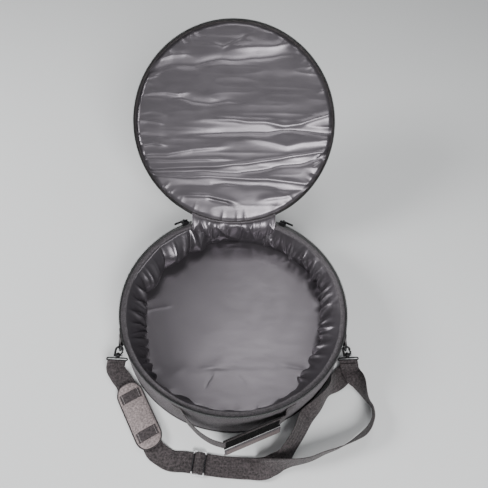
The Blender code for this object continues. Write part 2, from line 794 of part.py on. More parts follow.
def plate_with_nose(name, inner, outer, half_length, half_height, collection):
    """A slider plate: a flat outline with tapered ends, given its thickness."""
    nose = half_height * SLIDER_NOSE_SHARE
    shoulder = half_length * SLIDER_NOSE_SHARE
    outline = [
        (-half_length, -nose),
        (-shoulder, -half_height),
        (shoulder, -half_height),
        (half_length, -nose),
        (half_length, nose),
        (shoulder, half_height),
        (-shoulder, half_height),
        (-half_length, nose),
    ]
    shape = bmesh.new()
    face = shape.faces.new([shape.verts.new((inner, y, z)) for y, z in outline])
    grown = bmesh.ops.extrude_face_region(shape, geom=[face])
    moved = [part for part in grown["geom"] if isinstance(part, bmesh.types.BMVert)]
    bmesh.ops.translate(shape, vec=(outer - inner, 0, 0), verts=moved)
    return piece_from_bmesh(name, shape, collection)


def pull(name, azimuth_deg, direction, bag, cutters):
    """A flat pull tab with an eye round the slider's pin, lying along the zip."""
    eye = PULL_PIN_RADIUS + RUN_GAP + PULL_EYE_WALL
    body = rod(
        name, (0, 0, -PULL_WIDTH / 2), (0, 0, PULL_WIDTH / 2), eye, POST_SIDES, bag
    )
    tab = block(
        name + "_tab",
        (-PULL_THICKNESS / 2, min(0, direction * PULL_LENGTH), -PULL_WIDTH / 2),
        (PULL_THICKNESS / 2, max(0, direction * PULL_LENGTH), PULL_WIDTH / 2),
        cutters,
    )
    hole = rod(
        name + "_bore",
        (0, 0, -PULL_WIDTH),
        (0, 0, PULL_WIDTH),
        PULL_PIN_RADIUS + RUN_GAP,
        POST_SIDES,
        cutters,
    )
    frame = slider_frame(azimuth_deg) @ Matrix.Translation((pull_pin_radius(), 0, 0))
    for item in (body, tab, hole):
        place(item, frame)
    combine(body, [tab], "UNION", cutters)
    combine(body, [hole], "DIFFERENCE", cutters)
    return black_metal(body)


def hang_frame(side):
    """The frame of one side's ring and hook, with its origin on the ring's bar.

    X is across the strap, Y lies along the ring's bar and Z points down the hook.
    """
    azimuth = 180 + DRING_AZIMUTH_DEG if side < 0 else -DRING_AZIMUTH_DEG
    out = polar(1.0, azimuth, 0.0)
    forward = Vector((-out.y, out.x, 0)) * (-side)
    down = (out * HANG_SHARES[0] + forward * HANG_SHARES[1] + UP * HANG_SHARES[2]).normalized()
    lean = atan2(down.dot(forward), -down.dot(UP))
    bar = (forward * cos(lean) + UP * sin(lean)).normalized()
    across = bar.cross(down)
    origin = out * bar_radius() + UP * DRING_HEIGHT
    frame = Matrix((across, bar, down)).transposed().to_4x4()
    frame.translation = origin
    return frame, out


def bar_radius():
    """How far out the ring's bar stands, with the tab's webbing between it and the wall."""
    return BAG_RADIUS + SEAT_GAP + WEBBING + RUN_GAP + DRING_BAR_RADIUS


def dring_tab(name, side, bag):
    """Webbing folded round the ring's bar and sewn to the wall."""
    frame, out = hang_frame(side)
    bar = frame.to_3x3() @ Vector((0, 1, 0))
    up = out.cross(bar) * (-1 if out.cross(bar).z < 0 else 1)
    centre = bar_radius()
    fold = DRING_BAR_RADIUS + RUN_GAP + WEBBING / 2
    inner = BAG_RADIUS + SEAT_GAP + WEBBING / 2
    outer = inner + WEBBING + SEAT_GAP
    path = [(inner, TAB_LEG), (inner, TAB_LEG / 2)]
    for i in range(TAB_STEPS + 1):
        angle = pi + pi * i / TAB_STEPS
        path.append((centre + fold * cos(angle), fold * sin(angle)))
    path += [(centre + fold, fold * 0.8), (outer, TAB_LEG / 2), (outer, TAB_LEG)]
    origin = UP * DRING_HEIGHT
    stations = [(origin + out * radial + up * height, bar) for radial, height in path]
    return webbing(ribbon(name, stations, TAB_WIDTH, WEBBING, bag))


def dring_bow():
    """Radius of the ring's bow to the middle of its wire."""
    return STRAP_WIDTH / 2 + DRING_SIDE_CLEARANCE


def dring(name, side, bag):
    """A D-shaped wire ring with its straight bar on the hinge line."""
    frame, _ = hang_frame(side)
    bow = dring_bow()
    angles = [pi * i / BOW_STEPS for i in range(BOW_STEPS + 1)]
    points = [(0, bow * cos(angle), bow * sin(angle)) for angle in angles]
    return black_metal(place(wire(name, points, DRING_BAR_RADIUS, True, bag), frame))


def hook_levels():
    """Distances down the hook from the ring's bar: crown centre, gate pin, barrel and eye bars."""
    crown = dring_bow() - DRING_BAR_RADIUS - RUN_GAP + HOOK_MOUTH
    barrel_top = crown + HOOK_SHANK_LENGTH
    barrel_low = barrel_top + BARREL_LENGTH
    upper_bar = barrel_low + RUN_GAP + EYE_NECK + EYE_WIRE
    lower_bar = upper_bar + 2 * EYE_WIRE + WEBBING + 4 * RUN_GAP
    return crown, barrel_top, barrel_low, upper_bar, lower_bar


def hook_body(name, side, bag, cutters):
    """A swivel hook: a bent wire over the ring, a bored barrel and two lugs for the gate's pin."""
    crown, barrel_top, barrel_low, _, _ = hook_levels()
    bend = HOOK_MOUTH + HOOK_WIRE
    points = [(-bend, 0, barrel_top + BARREL_LENGTH / 2), (-bend, 0, barrel_top)]
    for i in range(CROWN_STEPS + 1):
        angle = pi + (pi + radians(HOOK_NOSE_DEG)) * i / CROWN_STEPS
        points.append((bend * cos(angle), 0, crown + bend * sin(angle)))
    body = wire(name, points, HOOK_WIRE, False, bag)
    barrel_ends = ((0, 0, barrel_top), (0, 0, barrel_low))
    barrel = rod(name + "_barrel", *barrel_ends, BARREL_RADIUS, BARREL_SIDES, cutters)
    shoulder_half = HOOK_WIRE * HOOK_SHOULDER_SHARE
    shoulder = block(
        name + "_shoulder",
        (-bend - shoulder_half, -shoulder_half, barrel_top),
        (-POST_RADIUS - RUN_GAP * 2, shoulder_half, barrel_low - RUN_GAP),
        cutters,
    )
    joined = [barrel, shoulder]
    gate_pin = gate_pin_place()
    for edge in (-1, 1):
        inner = edge * (GATE_WIDTH / 2 + RUN_GAP)
        outer = edge * (GATE_WIDTH / 2 + RUN_GAP + LUG)
        joined.append(
            rod(
                f"{name}_lug_{edge}",
                (gate_pin[0], inner, gate_pin[1]),
                (gate_pin[0], outer, gate_pin[1]),
                LUG_RADIUS,
                LUG_SIDES,
                cutters,
            )
        )
        arm = sorted((inner, outer))
        joined.append(
            block(
                f"{name}_arm_{edge}",
                (POST_RADIUS + RUN_GAP * 2, arm[0], barrel_top + RUN_GAP),
                (gate_pin[0], arm[1], gate_pin[1] + LUG_RADIUS),
                cutters,
            )
        )
    bores = [
        rod(
            name + "_bore",
            (0, 0, barrel_top - POST_RADIUS),
            (0, 0, barrel_low + POST_RADIUS),
            POST_RADIUS + RUN_GAP,
            BARREL_SIDES,
            cutters,
        ),
        rod(
            name + "_pin_bore",
            (gate_pin[0], -GATE_WIDTH * 2, gate_pin[1]),
            (gate_pin[0], GATE_WIDTH * 2, gate_pin[1]),
            GATE_PIN_RADIUS + RUN_GAP,
            BAR_SIDES,
            cutters,
        ),
    ]
    frame, _ = hang_frame(side)
    for item in [body] + joined + bores:
        place(item, frame)
    combine(body, joined, "UNION", cutters)
    combine(body, bores, "DIFFERENCE", cutters)
    return black_metal(body)


def gate_eye_radius():
    """Outer radius of the gate's eye round its pin."""
    return GATE_PIN_RADIUS + RUN_GAP + GATE_EYE_WALL


def gate_pin_place():
    """Across and down places of the gate's pin, beside the barrel's top."""
    _, barrel_top, _, _, _ = hook_levels()
    return BARREL_RADIUS + gate_eye_radius() + RUN_GAP, barrel_top + LUG_RADIUS / 2


def hook_gate(name, side, bag, cutters):
    """The spring gate: a small lever from its pin up to the hook's nose."""
    crown, _, _, _, _ = hook_levels()
    pin_x, pin_z = gate_pin_place()
    bend = HOOK_MOUTH + HOOK_WIRE
    nose_angle = radians(HOOK_NOSE_DEG)
    nose_z = crown + bend * sin(nose_angle)
    tip = nose_z + HOOK_WIRE * cos(nose_angle) / 4 + RUN_GAP * 2
    eye_ends = ((0, -GATE_WIDTH / 2, 0), (0, GATE_WIDTH / 2, 0))
    body = rod(name, *eye_ends, gate_eye_radius(), LUG_SIDES, bag)
    lever = block(
        name + "_lever",
        (-GATE_THICKNESS / 2, -GATE_WIDTH / 2, tip - pin_z),
        (GATE_THICKNESS / 2, GATE_WIDTH / 2, 0),
        cutters,
    )
    bore = rod(
        name + "_bore",
        (0, -GATE_WIDTH, 0),
        (0, GATE_WIDTH, 0),
        GATE_PIN_RADIUS + RUN_GAP,
        BAR_SIDES,
        cutters,
    )
    frame, _ = hang_frame(side)
    frame = frame @ Matrix.Translation((pin_x, 0, pin_z))
    for item in (body, lever, bore):
        place(item, frame)
    combine(body, [lever], "UNION", cutters)
    combine(body, [bore], "DIFFERENCE", cutters)
    return black_metal(body)


def gate_pin(name, side, bag):
    """The rivet that carries the gate between the hook's lugs."""
    pin_x, pin_z = gate_pin_place()
    half = GATE_WIDTH / 2 + RUN_GAP + LUG
    frame, _ = hang_frame(side)
    pin = rod(name, (0, -half, 0), (0, half, 0), GATE_PIN_RADIUS, BAR_SIDES, bag)
    return bright_metal(place(pin, frame @ Matrix.Translation((pin_x, 0, pin_z))))


def swivel_eye(name, side, bag, cutters):
    """The hook's swivelling foot: a headed post and the flat loop that holds the strap."""
    _, barrel_top, barrel_low, upper_bar, lower_bar = hook_levels()
    half = STRAP_WIDTH / 2 + EYE_SIDE_CLEARANCE + EYE_WIRE
    corners = [(-half, 0, upper_bar), (half, 0, upper_bar), (half, 0, lower_bar), (-half, 0, lower_bar)]
    body = wire(name, corners, EYE_WIRE, True, bag)
    joined = [
        rod(
            name + "_post",
            (0, 0, barrel_top - RUN_GAP - POST_HEAD_HEIGHT / 2),
            (0, 0, upper_bar),
            POST_RADIUS,
            POST_SIDES,
            cutters,
        ),
        rod(
            name + "_head",
            (0, 0, barrel_top - RUN_GAP - POST_HEAD_HEIGHT),
            (0, 0, barrel_top - RUN_GAP),
            POST_HEAD_RADIUS,
            POST_SIDES,
            cutters,
        ),
        rod(
            name + "_collar",
            (0, 0, barrel_low + RUN_GAP),
            (0, 0, upper_bar),
            BARREL_RADIUS * COLLAR_SHARE,
            POST_SIDES,
            cutters,
        ),
    ]
    frame, _ = hang_frame(side)
    for item in [body] + joined:
        place(item, frame)
    combine(body, joined, "UNION", cutters)
    return black_metal(body)


def loop_offset():
    """How far each leg of the strap's end loop lies from the middle."""
    return WEBBING / 2 + SEAT_GAP + WEBBING / 2


def strap_loop(name, side, bag):
    """The strap's end loop round the eye's lower bar."""
    _, _, _, _, lower_bar = hook_levels()
    frame, _ = hang_frame(side)
    turn = EYE_WIRE + RUN_GAP + WEBBING / 2
    leg = loop_offset()
    foot = lower_bar + turn + LOOP_LEG
    path = [(leg, foot), (leg, lower_bar + turn)]
    for i in range(LOOP_STEPS + 1):
        angle = -pi * i / LOOP_STEPS
        path.append((turn * cos(angle), lower_bar + turn * sin(angle)))
    path += [(-leg, lower_bar + turn), (-leg, foot)]
    across = frame.to_3x3() @ Vector((1, 0, 0))
    stations = [(frame @ Vector((0, y, z)), across) for y, z in path]
    item = ribbon(name, stations, STRAP_WIDTH, WEBBING, bag)
    origin = frame.translation.copy()
    item.data.transform(Matrix.Translation(-origin))
    item.matrix_world = Matrix.Translation(origin)
    return webbing(item)


def hook_end(side, offset, sign):
    """Three stations where the strap's end lies flat against its loop, from the end outwards."""
    _, _, _, _, lower_bar = hook_levels()
    frame, _ = hang_frame(side)
    turn = EYE_WIRE + RUN_GAP + WEBBING / 2
    foot = lower_bar + turn + LOOP_LEG
    across = frame.to_3x3() @ Vector((sign, 0, 0))
    levels = (foot - TUCK, foot + SEAT_GAP, foot + TUCK_OUT)
    return [(frame @ Vector((0, offset, z)), across) for z in levels]


def pad_frame():
    """X along the strap, Y across it and Z up at the pad's middle."""
    across = polar(-1.0, PAD_AZIMUTH_DEG, 0.0)
    aim = across.cross(UP)
    frame = Matrix((aim, across, UP)).transposed().to_4x4()
    distance = PIPING_TRACK + PIPING_RADIUS + SEAT_GAP * 2 + PAD_WIDTH / 2
    frame.translation = aim * (PAD_SHIFT_SHARE * BAG_RADIUS) - across * distance
    return frame


def pad_strap_level():
    """Height of the webbing's middle where it passes through the pad."""
    return SEAT_GAP + PAD_BACKING + SEAT_GAP + WEBBING / 2


def adjuster_frame():
    """X along the strap, Y across it and Z up at the adjuster's middle bar."""
    aim = Vector((ADJUSTER_AIM_SHARES[0], ADJUSTER_AIM_SHARES[1], 0)).normalized()
    across = Vector((-aim.y, aim.x, 0))
    frame = Matrix((aim, across, UP)).transposed().to_4x4()
    bar_height = SEAT_GAP * 3 + WEBBING * 2 + ADJUSTER_WIRE
    frame.translation = plan(ADJUSTER_CENTRE_SHARES, bar_height)
    return frame


def strap_main(bag):
    """The strap from the left hook through the pad and adjuster to the right hook."""
    pad = pad_frame()
    half = PAD_LENGTH / 2
    run = half + PAD_RUN_SHARE * PAD_LENGTH
    level = pad_strap_level()
    across = pad.to_3x3() @ Vector((0, 1, 0))
    stations = hook_end(-1, 0.0, 1)
    stations += [route_station(entry) for entry in LEFT_DROP_SHARES]
    stations += [(pad @ Vector((x, 0, level)), across) for x in (-run, -half, 0, half, run)]
    stations += [route_station(entry) for entry in PAD_TO_ADJUSTER_SHARES]
    adjuster = adjuster_frame()
    sideways = adjuster.to_3x3() @ Vector((0, 1, 0))
    over = ADJUSTER_WIRE + 3 * RUN_GAP + WEBBING * 1.5
    under = -(ADJUSTER_WIRE + RUN_GAP + WEBBING / 2)
    floor = FLOOR_LEVEL - adjuster.translation.z
    lean = over * sqrt(0.5)
    close, apart, far = (ADJUSTER_PITCH * share for share in RUN_OUT_SHARES)
    wave = [
        (-apart, floor),
        (-close, floor),
        (-ADJUSTER_PITCH, under + floor / 8),
        (-lean, lean),
        (0.0, over),
        (lean, lean),
        (ADJUSTER_PITCH, under),
        (close, under),
        (apart, under),
        (far, under),
    ]
    threaded = [(adjuster @ Vector((x, 0, z)), sideways) for x, z in wave]
    fine = smooth_route(stations + threaded[:1], ROUTE_STEP)
    fine += smooth_route(threaded, ADJUSTER_PITCH / 8)[1:]
    tail = [threaded[-1]] + [route_station(entry) for entry in OUTER_LAYER_SHARES]
    offset = loop_offset() + WEBBING + SEAT_GAP
    tail += list(reversed(hook_end(1, offset, 1)))
    fine += smooth_route(tail, ROUTE_STEP)[1:]
    return webbing(ribbon("strap_main", fine, STRAP_WIDTH, WEBBING, bag))


def strap_return(bag):
    """The layer that comes back from the right hook and is sewn round the adjuster's middle bar."""
    adjuster = adjuster_frame()
    sideways = adjuster.to_3x3() @ Vector((0, 1, 0))
    turn = ADJUSTER_WIRE + RUN_GAP + WEBBING / 2
    floor = FLOOR_LEVEL - adjuster.translation.z
    _, apart, far = (ADJUSTER_PITCH * share for share in RUN_OUT_SHARES)
    path = []
    for i in range(RETURN_STEPS + 1):
        angle = radians(RETURN_START_DEG + RETURN_TURN_DEG * i / RETURN_STEPS)
        path.append((turn * cos(angle), turn * sin(angle)))
    path += [
        (ADJUSTER_PITCH / 2, (floor - turn) / 2),
        (ADJUSTER_PITCH, floor),
        (apart, floor),
        (far, floor),
    ]
    stations = [(adjuster @ Vector((x, 0, z)), sideways) for x, z in path]
    tail = [stations[-1]] + [route_station(entry) for entry in RETURN_LAYER_SHARES]
    offset = -(loop_offset() + WEBBING + SEAT_GAP)
    tail += list(reversed(hook_end(1, offset, -1)))
    fine = stations + smooth_route(tail, ROUTE_STEP)[1:]
    return webbing(ribbon("strap_return", fine, STRAP_WIDTH, WEBBING, bag))


def adjuster(bag, cutters):
    """A three-bar slide: an oblong wire frame with a bar across its middle."""
    half = STRAP_WIDTH / 2 + EYE_SIDE_CLEARANCE + ADJUSTER_WIRE
    corners = [
        (-ADJUSTER_PITCH, -half, 0),
        (ADJUSTER_PITCH, -half, 0),
        (ADJUSTER_PITCH, half, 0),
        (-ADJUSTER_PITCH, half, 0),
    ]
    body = wire("strap_adjuster", corners, ADJUSTER_WIRE, True, bag)
    ends = ((0, -half, 0), (0, half, 0))
    bar = rod("strap_adjuster_bar", *ends, ADJUSTER_WIRE, BAR_SIDES, cutters)
    for item in (body, bar):
        place(item, adjuster_frame())
    combine(body, [bar], "UNION", cutters)
    return bright_metal(body)


def pad_layer(name, low, high, margin, collection):
    """One layer of the shoulder pad: an oblong with tapered ends and softened edges."""
    half_length = PAD_LENGTH / 2 - margin
    half_width = PAD_WIDTH / 2 - margin
    end = PAD_END_WIDTH / 2 - margin
    shoulder = half_length - PAD_TAPER
    outline = [
        (-half_length, -end),
        (-shoulder, -half_width),
        (shoulder, -half_width),
        (half_length, -end),
        (half_length, end),
        (shoulder, half_width),
        (-shoulder, half_width),
        (-half_length, end),
    ]
    shape = bmesh.new()
    face = shape.faces.new([shape.verts.new((x, y, low)) for x, y in outline])
    grown = bmesh.ops.extrude_face_region(shape, geom=[face])
    moved = [part for part in grown["geom"] if isinstance(part, bmesh.types.BMVert)]
    bmesh.ops.translate(shape, vec=(0, 0, high - low), verts=moved)
    return place(piece_from_bmesh(name, shape, collection), pad_frame())


def pad_pieces(bag):
    """The shoulder pad's backing, its padded face and the two keepers sewn across it."""
    face_low = pad_strap_level() + WEBBING / 2 + SEAT_GAP
    face_high = face_low + PAD_FACE
    backing = pad_layer("pad_backing", SEAT_GAP, SEAT_GAP + PAD_BACKING, 0.0, bag)
    face = pad_layer("shoulder_pad", face_low, face_high, 0.0, bag)
    for item, width in ((backing, PAD_BACKING), (face, PAD_FACE)):
        soften = item.modifiers.new("soft_edge", "BEVEL")
        soften.width = width * PAD_BEVEL_SHARE
        soften.segments = 2
        soften.limit_method = "ANGLE"
        pad_cloth(item)
    keeper_low = face_high + SEAT_GAP
    for name, sign in (("pad_keeper_upper", -1), ("pad_keeper_lower", 1)):
        centre = sign * (PAD_LENGTH / 2 - KEEPER_INSET)
        keeper = block(
            name,
            (centre - KEEPER_LENGTH / 2, -STRAP_WIDTH / 2, keeper_low),
            (centre + KEEPER_LENGTH / 2, STRAP_WIDTH / 2, keeper_low + WEBBING),
            bag,
        )
        webbing(place(keeper, pad_frame()))


def handle_leg(name, side, outer_shares, bag):
    """A leg of the carry handle: sewn flat to the front wall, then out to the handle."""
    track = BAG_RADIUS + SEAT_GAP + WEBBING / 2
    stations = []
    for step in (-1, 0, 1):
        azimuth = -90 + side * (HANDLE_LEG_DEG - step * HANDLE_PATCH_DEG / 2)
        stations.append((polar(track, azimuth, HANDLE_HEIGHT), UP))
    bend_deg = -90 + side * (HANDLE_LEG_DEG - HANDLE_PATCH_DEG * HANDLE_BEND_SHARE)
    stations.append((polar(track + WEBBING, bend_deg, HANDLE_HEIGHT), UP))
    stations += [(plan(shares, HANDLE_HEIGHT), UP) for shares in outer_shares]
    return webbing(ribbon(name, stations, HANDLE_WIDTH, WEBBING, bag))


def handle_axis():
    """The line that the handle lifts about: through its two legs' ends, at the upper edge."""
    left = plan(HANDLE_LEFT_SHARES, HANDLE_HEIGHT + HANDLE_WIDTH / 2)
    right = plan(HANDLE_RIGHT_SHARES, HANDLE_HEIGHT + HANDLE_WIDTH / 2)
    return left, right


def about_point(item, point):
    """Move the piece's origin to the point and leave its shape where it is."""
    shift = Matrix.Translation(-point)
    item.data.transform(shift @ item.matrix_basis)
    item.matrix_basis = Matrix.Translation(point)
    return item


def handle_strap(bag):
    """The loose webbing of the carry handle, between its two legs."""
    left = plan(HANDLE_LEFT_SHARES, HANDLE_HEIGHT)
    right = plan(HANDLE_RIGHT_SHARES, HANDLE_HEIGHT)
    grip_left = plan(GRIP_LEFT_SHARES, HANDLE_HEIGHT)
    grip_right = plan(GRIP_RIGHT_SHARES, HANDLE_HEIGHT)
    bends = [plan(shares, HANDLE_HEIGHT) for shares in HANDLE_BEND_SHARES]
    start = left + (bends[0] - left).normalized() * SEAT_GAP
    end = right + (grip_right - right).normalized() * SEAT_GAP
    first = [(point, UP) for point in [start] + bends + [grip_left]]
    stations = smooth_route(first, ROUTE_STEP) + [(grip_right, UP), (end, UP)]
    item = ribbon("handle_strap", stations, HANDLE_WIDTH, WEBBING, bag)
    return webbing(about_point(item, handle_axis()[0]))


def grip_frame():
    """X along the grip to its left end, Y to the front and Z up at the middle of the grip."""
    left = plan(GRIP_LEFT_SHARES, HANDLE_HEIGHT)
    right = plan(GRIP_RIGHT_SHARES, HANDLE_HEIGHT)
    along = (left - right).normalized()
    front = UP.cross(along)
    frame = Matrix((along, front, UP)).transposed().to_4x4()
    frame.translation = (left + right) / 2
    return frame, (right - left).length - 2 * GRIP_OVERHANG


def grip_profile(name, outline, length, collection):
    """Sweep a closed (front, height) outline along the grip."""
    shape = bmesh.new()
    face = shape.faces.new([shape.verts.new((-length / 2, y, z)) for y, z in outline])
    grown = bmesh.ops.extrude_face_region(shape, geom=[face])
    moved = [part for part in grown["geom"] if isinstance(part, bmesh.types.BMVert)]
    bmesh.ops.translate(shape, vec=(length, 0, 0), verts=moved)
    return piece_from_bmesh(name, shape, collection)


def grip_hinge_place():
    """Front and height of the grip flap's fold line, from the grip's middle."""
    low = HANDLE_WIDTH / 2 + SEAT_GAP + GRIP_CLOTH / 2
    reach = WEBBING / 2 + 2 * SEAT_GAP + 2 * GRIP_STRIP + SEAT_GAP + GRIP_CLOTH / 2
    return reach + SEAT_GAP, -low


def grip_pieces(bag):
    """The padded wrap round the handle: a sleeve, a flap that closes over it and the closing strips."""
    frame, length = grip_frame()
    frame = frame.copy()
    hinge_y, hinge_z = grip_hinge_place()
    back = -(WEBBING / 2 + SEAT_GAP)
    top = HANDLE_WIDTH / 2 + GRIP_OVERHANG
    low = -(HANDLE_WIDTH / 2 + SEAT_GAP)
    front = hinge_y - GRIP_CLOTH / 2 - SEAT_GAP
    sleeve = [
        (back, top),
        (back - GRIP_CLOTH, top),
        (back - GRIP_CLOTH, low - GRIP_CLOTH),
        (front, low - GRIP_CLOTH),
        (front, low),
        (back, low),
    ]
    axis_point = handle_axis()[0]
    item = place(grip_profile("grip_sleeve", sleeve, length, bag), frame)
    outer_cloth(about_point(item, axis_point))
    strip_front = WEBBING / 2 + SEAT_GAP
    strip_half = HANDLE_WIDTH * GRIP_STRIP_HALF_SHARE
    strip_length = length * GRIP_STRIP_LENGTH_SHARE
    hooks = [
        (strip_front, -strip_half),
        (strip_front + GRIP_STRIP, -strip_half),
        (strip_front + GRIP_STRIP, strip_half),
        (strip_front, strip_half),
    ]
    item = place(grip_profile("grip_hook_strip", hooks, strip_length, bag), frame)
    zip_black(about_point(item, axis_point))
    flap_frame = frame @ Matrix.Translation((0, hinge_y, hinge_z))
    flap_frame = flap_frame @ Matrix.Rotation(radians(-GRIP_FLAP_DEG), 4, "X")
    half = GRIP_CLOTH / 2
    flap = [(-half, 0), (half, 0), (half, GRIP_FLAP_LENGTH), (-half, GRIP_FLAP_LENGTH)]
    outer_cloth(place(grip_profile("grip_flap", flap, length, bag), flap_frame))
    strip_low = GRIP_FLAP_LENGTH * GRIP_STRIP_MARGIN_SHARE
    pile = [
        (-half - SEAT_GAP - GRIP_STRIP, strip_low),
        (-half - SEAT_GAP, strip_low),
        (-half - SEAT_GAP, GRIP_FLAP_LENGTH - strip_low / 2),
        (-half - SEAT_GAP - GRIP_STRIP, GRIP_FLAP_LENGTH - strip_low / 2),
    ]
    zip_black(place(grip_profile("grip_pile_strip", pile, strip_length, bag), flap_frame))


def side_hardware(bag, cutters):
    """Ring, hook and strap loop on each side of the bag."""
    for word, side in (("left", -1), ("right", 1)):
        dring_tab(f"{word}_ring_tab", side, bag)
        dring(f"{word}_d_ring", side, bag)
        hook_body(f"{word}_hook", side, bag, cutters)
        hook_gate(f"{word}_hook_gate", side, bag, cutters)
        gate_pin(f"{word}_gate_pin", side, bag)
        swivel_eye(f"{word}_swivel_eye", side, bag, cutters)
        strap_loop(f"{word}_strap_loop", side, bag)


def zip_sliders(bag, cutters):
    """A slider and its pull at each end of the zip, beside the hinge."""
    park = ZIP_END_DEG + SLIDER_PARK_DEG
    for word, azimuth, direction in (("left", 90 + park, -1), ("right", 90 - park, 1)):
        slider(f"{word}_zip_slider", azimuth, bag, cutters)
        pull(f"{word}_zip_pull", azimuth, -direction, bag, cutters)


def main():
    """Build the whole bag."""
    clear_scene()
    bag = make_collection("bodhran_bag")
    cutters = make_collection("cutters")
    base_pieces(bag)
    wall_pieces(bag, cutters)
    zip_chain(bag)
    hinge_fold(bag, cutters)
    lid_pieces(bag)
    zip_sliders(bag, cutters)
    side_hardware(bag, cutters)
    strap_main(bag)
    strap_return(bag)
    adjuster(bag, cutters)
    pad_pieces(bag)
    handle_leg("left_handle_leg", -1, [HANDLE_LEFT_SHARES], bag)
    handle_leg("right_handle_leg", 1, [HANDLE_RIGHT_CORNER_SHARES, HANDLE_RIGHT_SHARES], bag)
    handle_strap(bag)
    grip_pieces(bag)


main()
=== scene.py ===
"""Dresses the frame of a round padded drum bag: cloth, lining, webbing, zip and hardware.

Sizes are in metres. X runs to the right, Y to the back where the lid is hinged, Z up.
"""

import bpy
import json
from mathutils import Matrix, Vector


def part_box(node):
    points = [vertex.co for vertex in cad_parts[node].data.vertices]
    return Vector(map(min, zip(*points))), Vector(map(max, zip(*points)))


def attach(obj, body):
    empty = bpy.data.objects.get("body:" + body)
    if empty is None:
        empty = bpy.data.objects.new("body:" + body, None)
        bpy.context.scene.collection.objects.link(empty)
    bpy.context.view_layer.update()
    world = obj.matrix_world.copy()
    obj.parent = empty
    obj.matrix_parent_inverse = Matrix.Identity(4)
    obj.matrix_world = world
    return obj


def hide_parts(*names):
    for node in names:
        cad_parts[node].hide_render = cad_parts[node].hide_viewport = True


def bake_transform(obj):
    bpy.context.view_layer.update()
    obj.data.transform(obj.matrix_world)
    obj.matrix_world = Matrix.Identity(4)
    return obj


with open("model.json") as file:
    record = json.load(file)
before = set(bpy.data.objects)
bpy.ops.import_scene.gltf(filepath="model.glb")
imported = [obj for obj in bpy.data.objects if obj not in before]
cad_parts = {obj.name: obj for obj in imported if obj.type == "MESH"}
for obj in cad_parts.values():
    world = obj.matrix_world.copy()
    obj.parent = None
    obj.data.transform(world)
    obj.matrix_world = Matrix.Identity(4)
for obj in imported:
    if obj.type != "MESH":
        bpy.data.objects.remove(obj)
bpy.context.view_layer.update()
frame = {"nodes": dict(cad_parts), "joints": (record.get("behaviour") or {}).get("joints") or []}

import json
from math import cos, pi, radians, sin, tau

import bmesh
import bpy
import numpy as np
from mathutils import Matrix, Vector

bl_info = {
    "name": "Padded drum bag",
    "version": (1, 0, 0),
    "blender": (4, 5, 0),
    "location": "3D view, sidebar, Drum bag tab",
    "description": "Makes the cloth, webbing and hardware of a round padded drum bag",
    "category": "Object",
}

# Places read from the frame
JOINTS = {joint["name"]: joint for joint in frame["joints"]}
HINGE_Y = JOINTS["lid_hinge"]["pos_m"][1]
HINGE_Z = JOINTS["lid_hinge"]["pos_m"][2]
LID_OPEN = radians(JOINTS["lid_hinge"]["range_deg"][1])
WALL_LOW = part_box("wall_panel")[0].z
WALL_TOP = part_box("wall_panel")[1].z
LINING_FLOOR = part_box("base_lining")[1].z
TAPE_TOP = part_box("body_zip_tape")[1].z
COIL_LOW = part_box("body_zip_coil")[0].z
COIL_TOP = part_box("body_zip_coil")[1].z

# Places on the closed lid, by the frame's own stacking from the zip line up
LID_COIL_LOW = HINGE_Z + 0.0010
LID_TAPE_LOW = HINGE_Z + 0.0047
LID_TAPE_TOP = HINGE_Z + 0.0177
LID_PIPING_HEIGHT = HINGE_Z + 0.0208
LID_LINING_HEIGHT = HINGE_Z + 0.0124
LID_PANEL_HEIGHT = HINGE_Z + 0.0220

# Round pieces of the body and lid
CLOTH = 0.0018
WALL_HEM = 0.0008
PIPING_DROP = 0.0031
SILL_DROP = 0.0164
NOTCH_HALF_WIDTH = 0.0977
NOTCH_RAMP = 0.016
# Where the lining across the hinge hangs slack, and where its foot and its lid end are sewn
HINGE_SLACK_Y = 0.192
HINGE_SLACK_DROP = 0.012
HINGE_FOOT_RISE = 0.004
HINGE_LID_RISE = 0.0060
HINGE_LINING_HALF_WIDTH = 0.101
HINGE_CLOTH_HALF_WIDTH = 0.0965
PIPING_RADIUS = 0.0028
LINING_RADIUS = 0.2292
LINING_INSET = 0.0006
LINING_LIFT = 0.0012
PANEL_RADIUS = 0.2360
LID_PANEL_OUTSET = 0.0006
LID_LINING_INSET = 0.0012
LID_LINING_SLACK = 0.0030
TAPE_RADIUS = 0.2391
TAPE_HALF = 0.0006
TAPE_HEM = 0.0012
COIL_RADIAL = 0.00135
COIL_WIRE = 0.00034
COIL_PITCH = 0.0022
ZIP_END = radians(25.08)
FLAP_END = radians(24.08)
LID_COIL_INSET = radians(7.82)
FACING_OUTER = 0.2381
FACING_INNER = 0.2274
FACING_DROP = 0.018
FACING_RISE = 0.0018
FACING_MIDDLE = 0.233
FACING_SEAMS = (0.2362, 0.2295)
STITCH_GAP = 0.0042
STITCH_LENGTH = 0.0028
STITCH_RADIUS = 0.00028

# Cells along each side of the disc grids, and steps round the bag
BASE_CELLS = 60
BASE_LINING_CELLS = 170
LID_CELLS = 150
LID_LINING_CELLS = 205
WALL_STEPS = 720
WALL_LINING_STEPS = 900
PIPING_STEPS = 360

# Edges turned by more degrees than these stay sharp: on most pieces, on cloth in folds and on the pad
SHARP_EDGE = 40.0
FOLDED_EDGE = 80.0
PAD_EDGE = 60.0

# Webbing
STRAP_WIDTH = 0.038
TAB_WIDTH = 0.036
# Half sizes of the sewn patch on a ring's tab, and its height over the ring's bar
TAB_PATCH = (0.015, 0.0035)
TAB_PATCH_RISE = 0.0135
TAB_LEVELS = (0.018, 0.013, 0.009)
WEBBING = 0.0016
FLOOR_GAP = 0.0003
# Top of the floor, a little below the bag
FLOOR_LEVEL = -0.0004
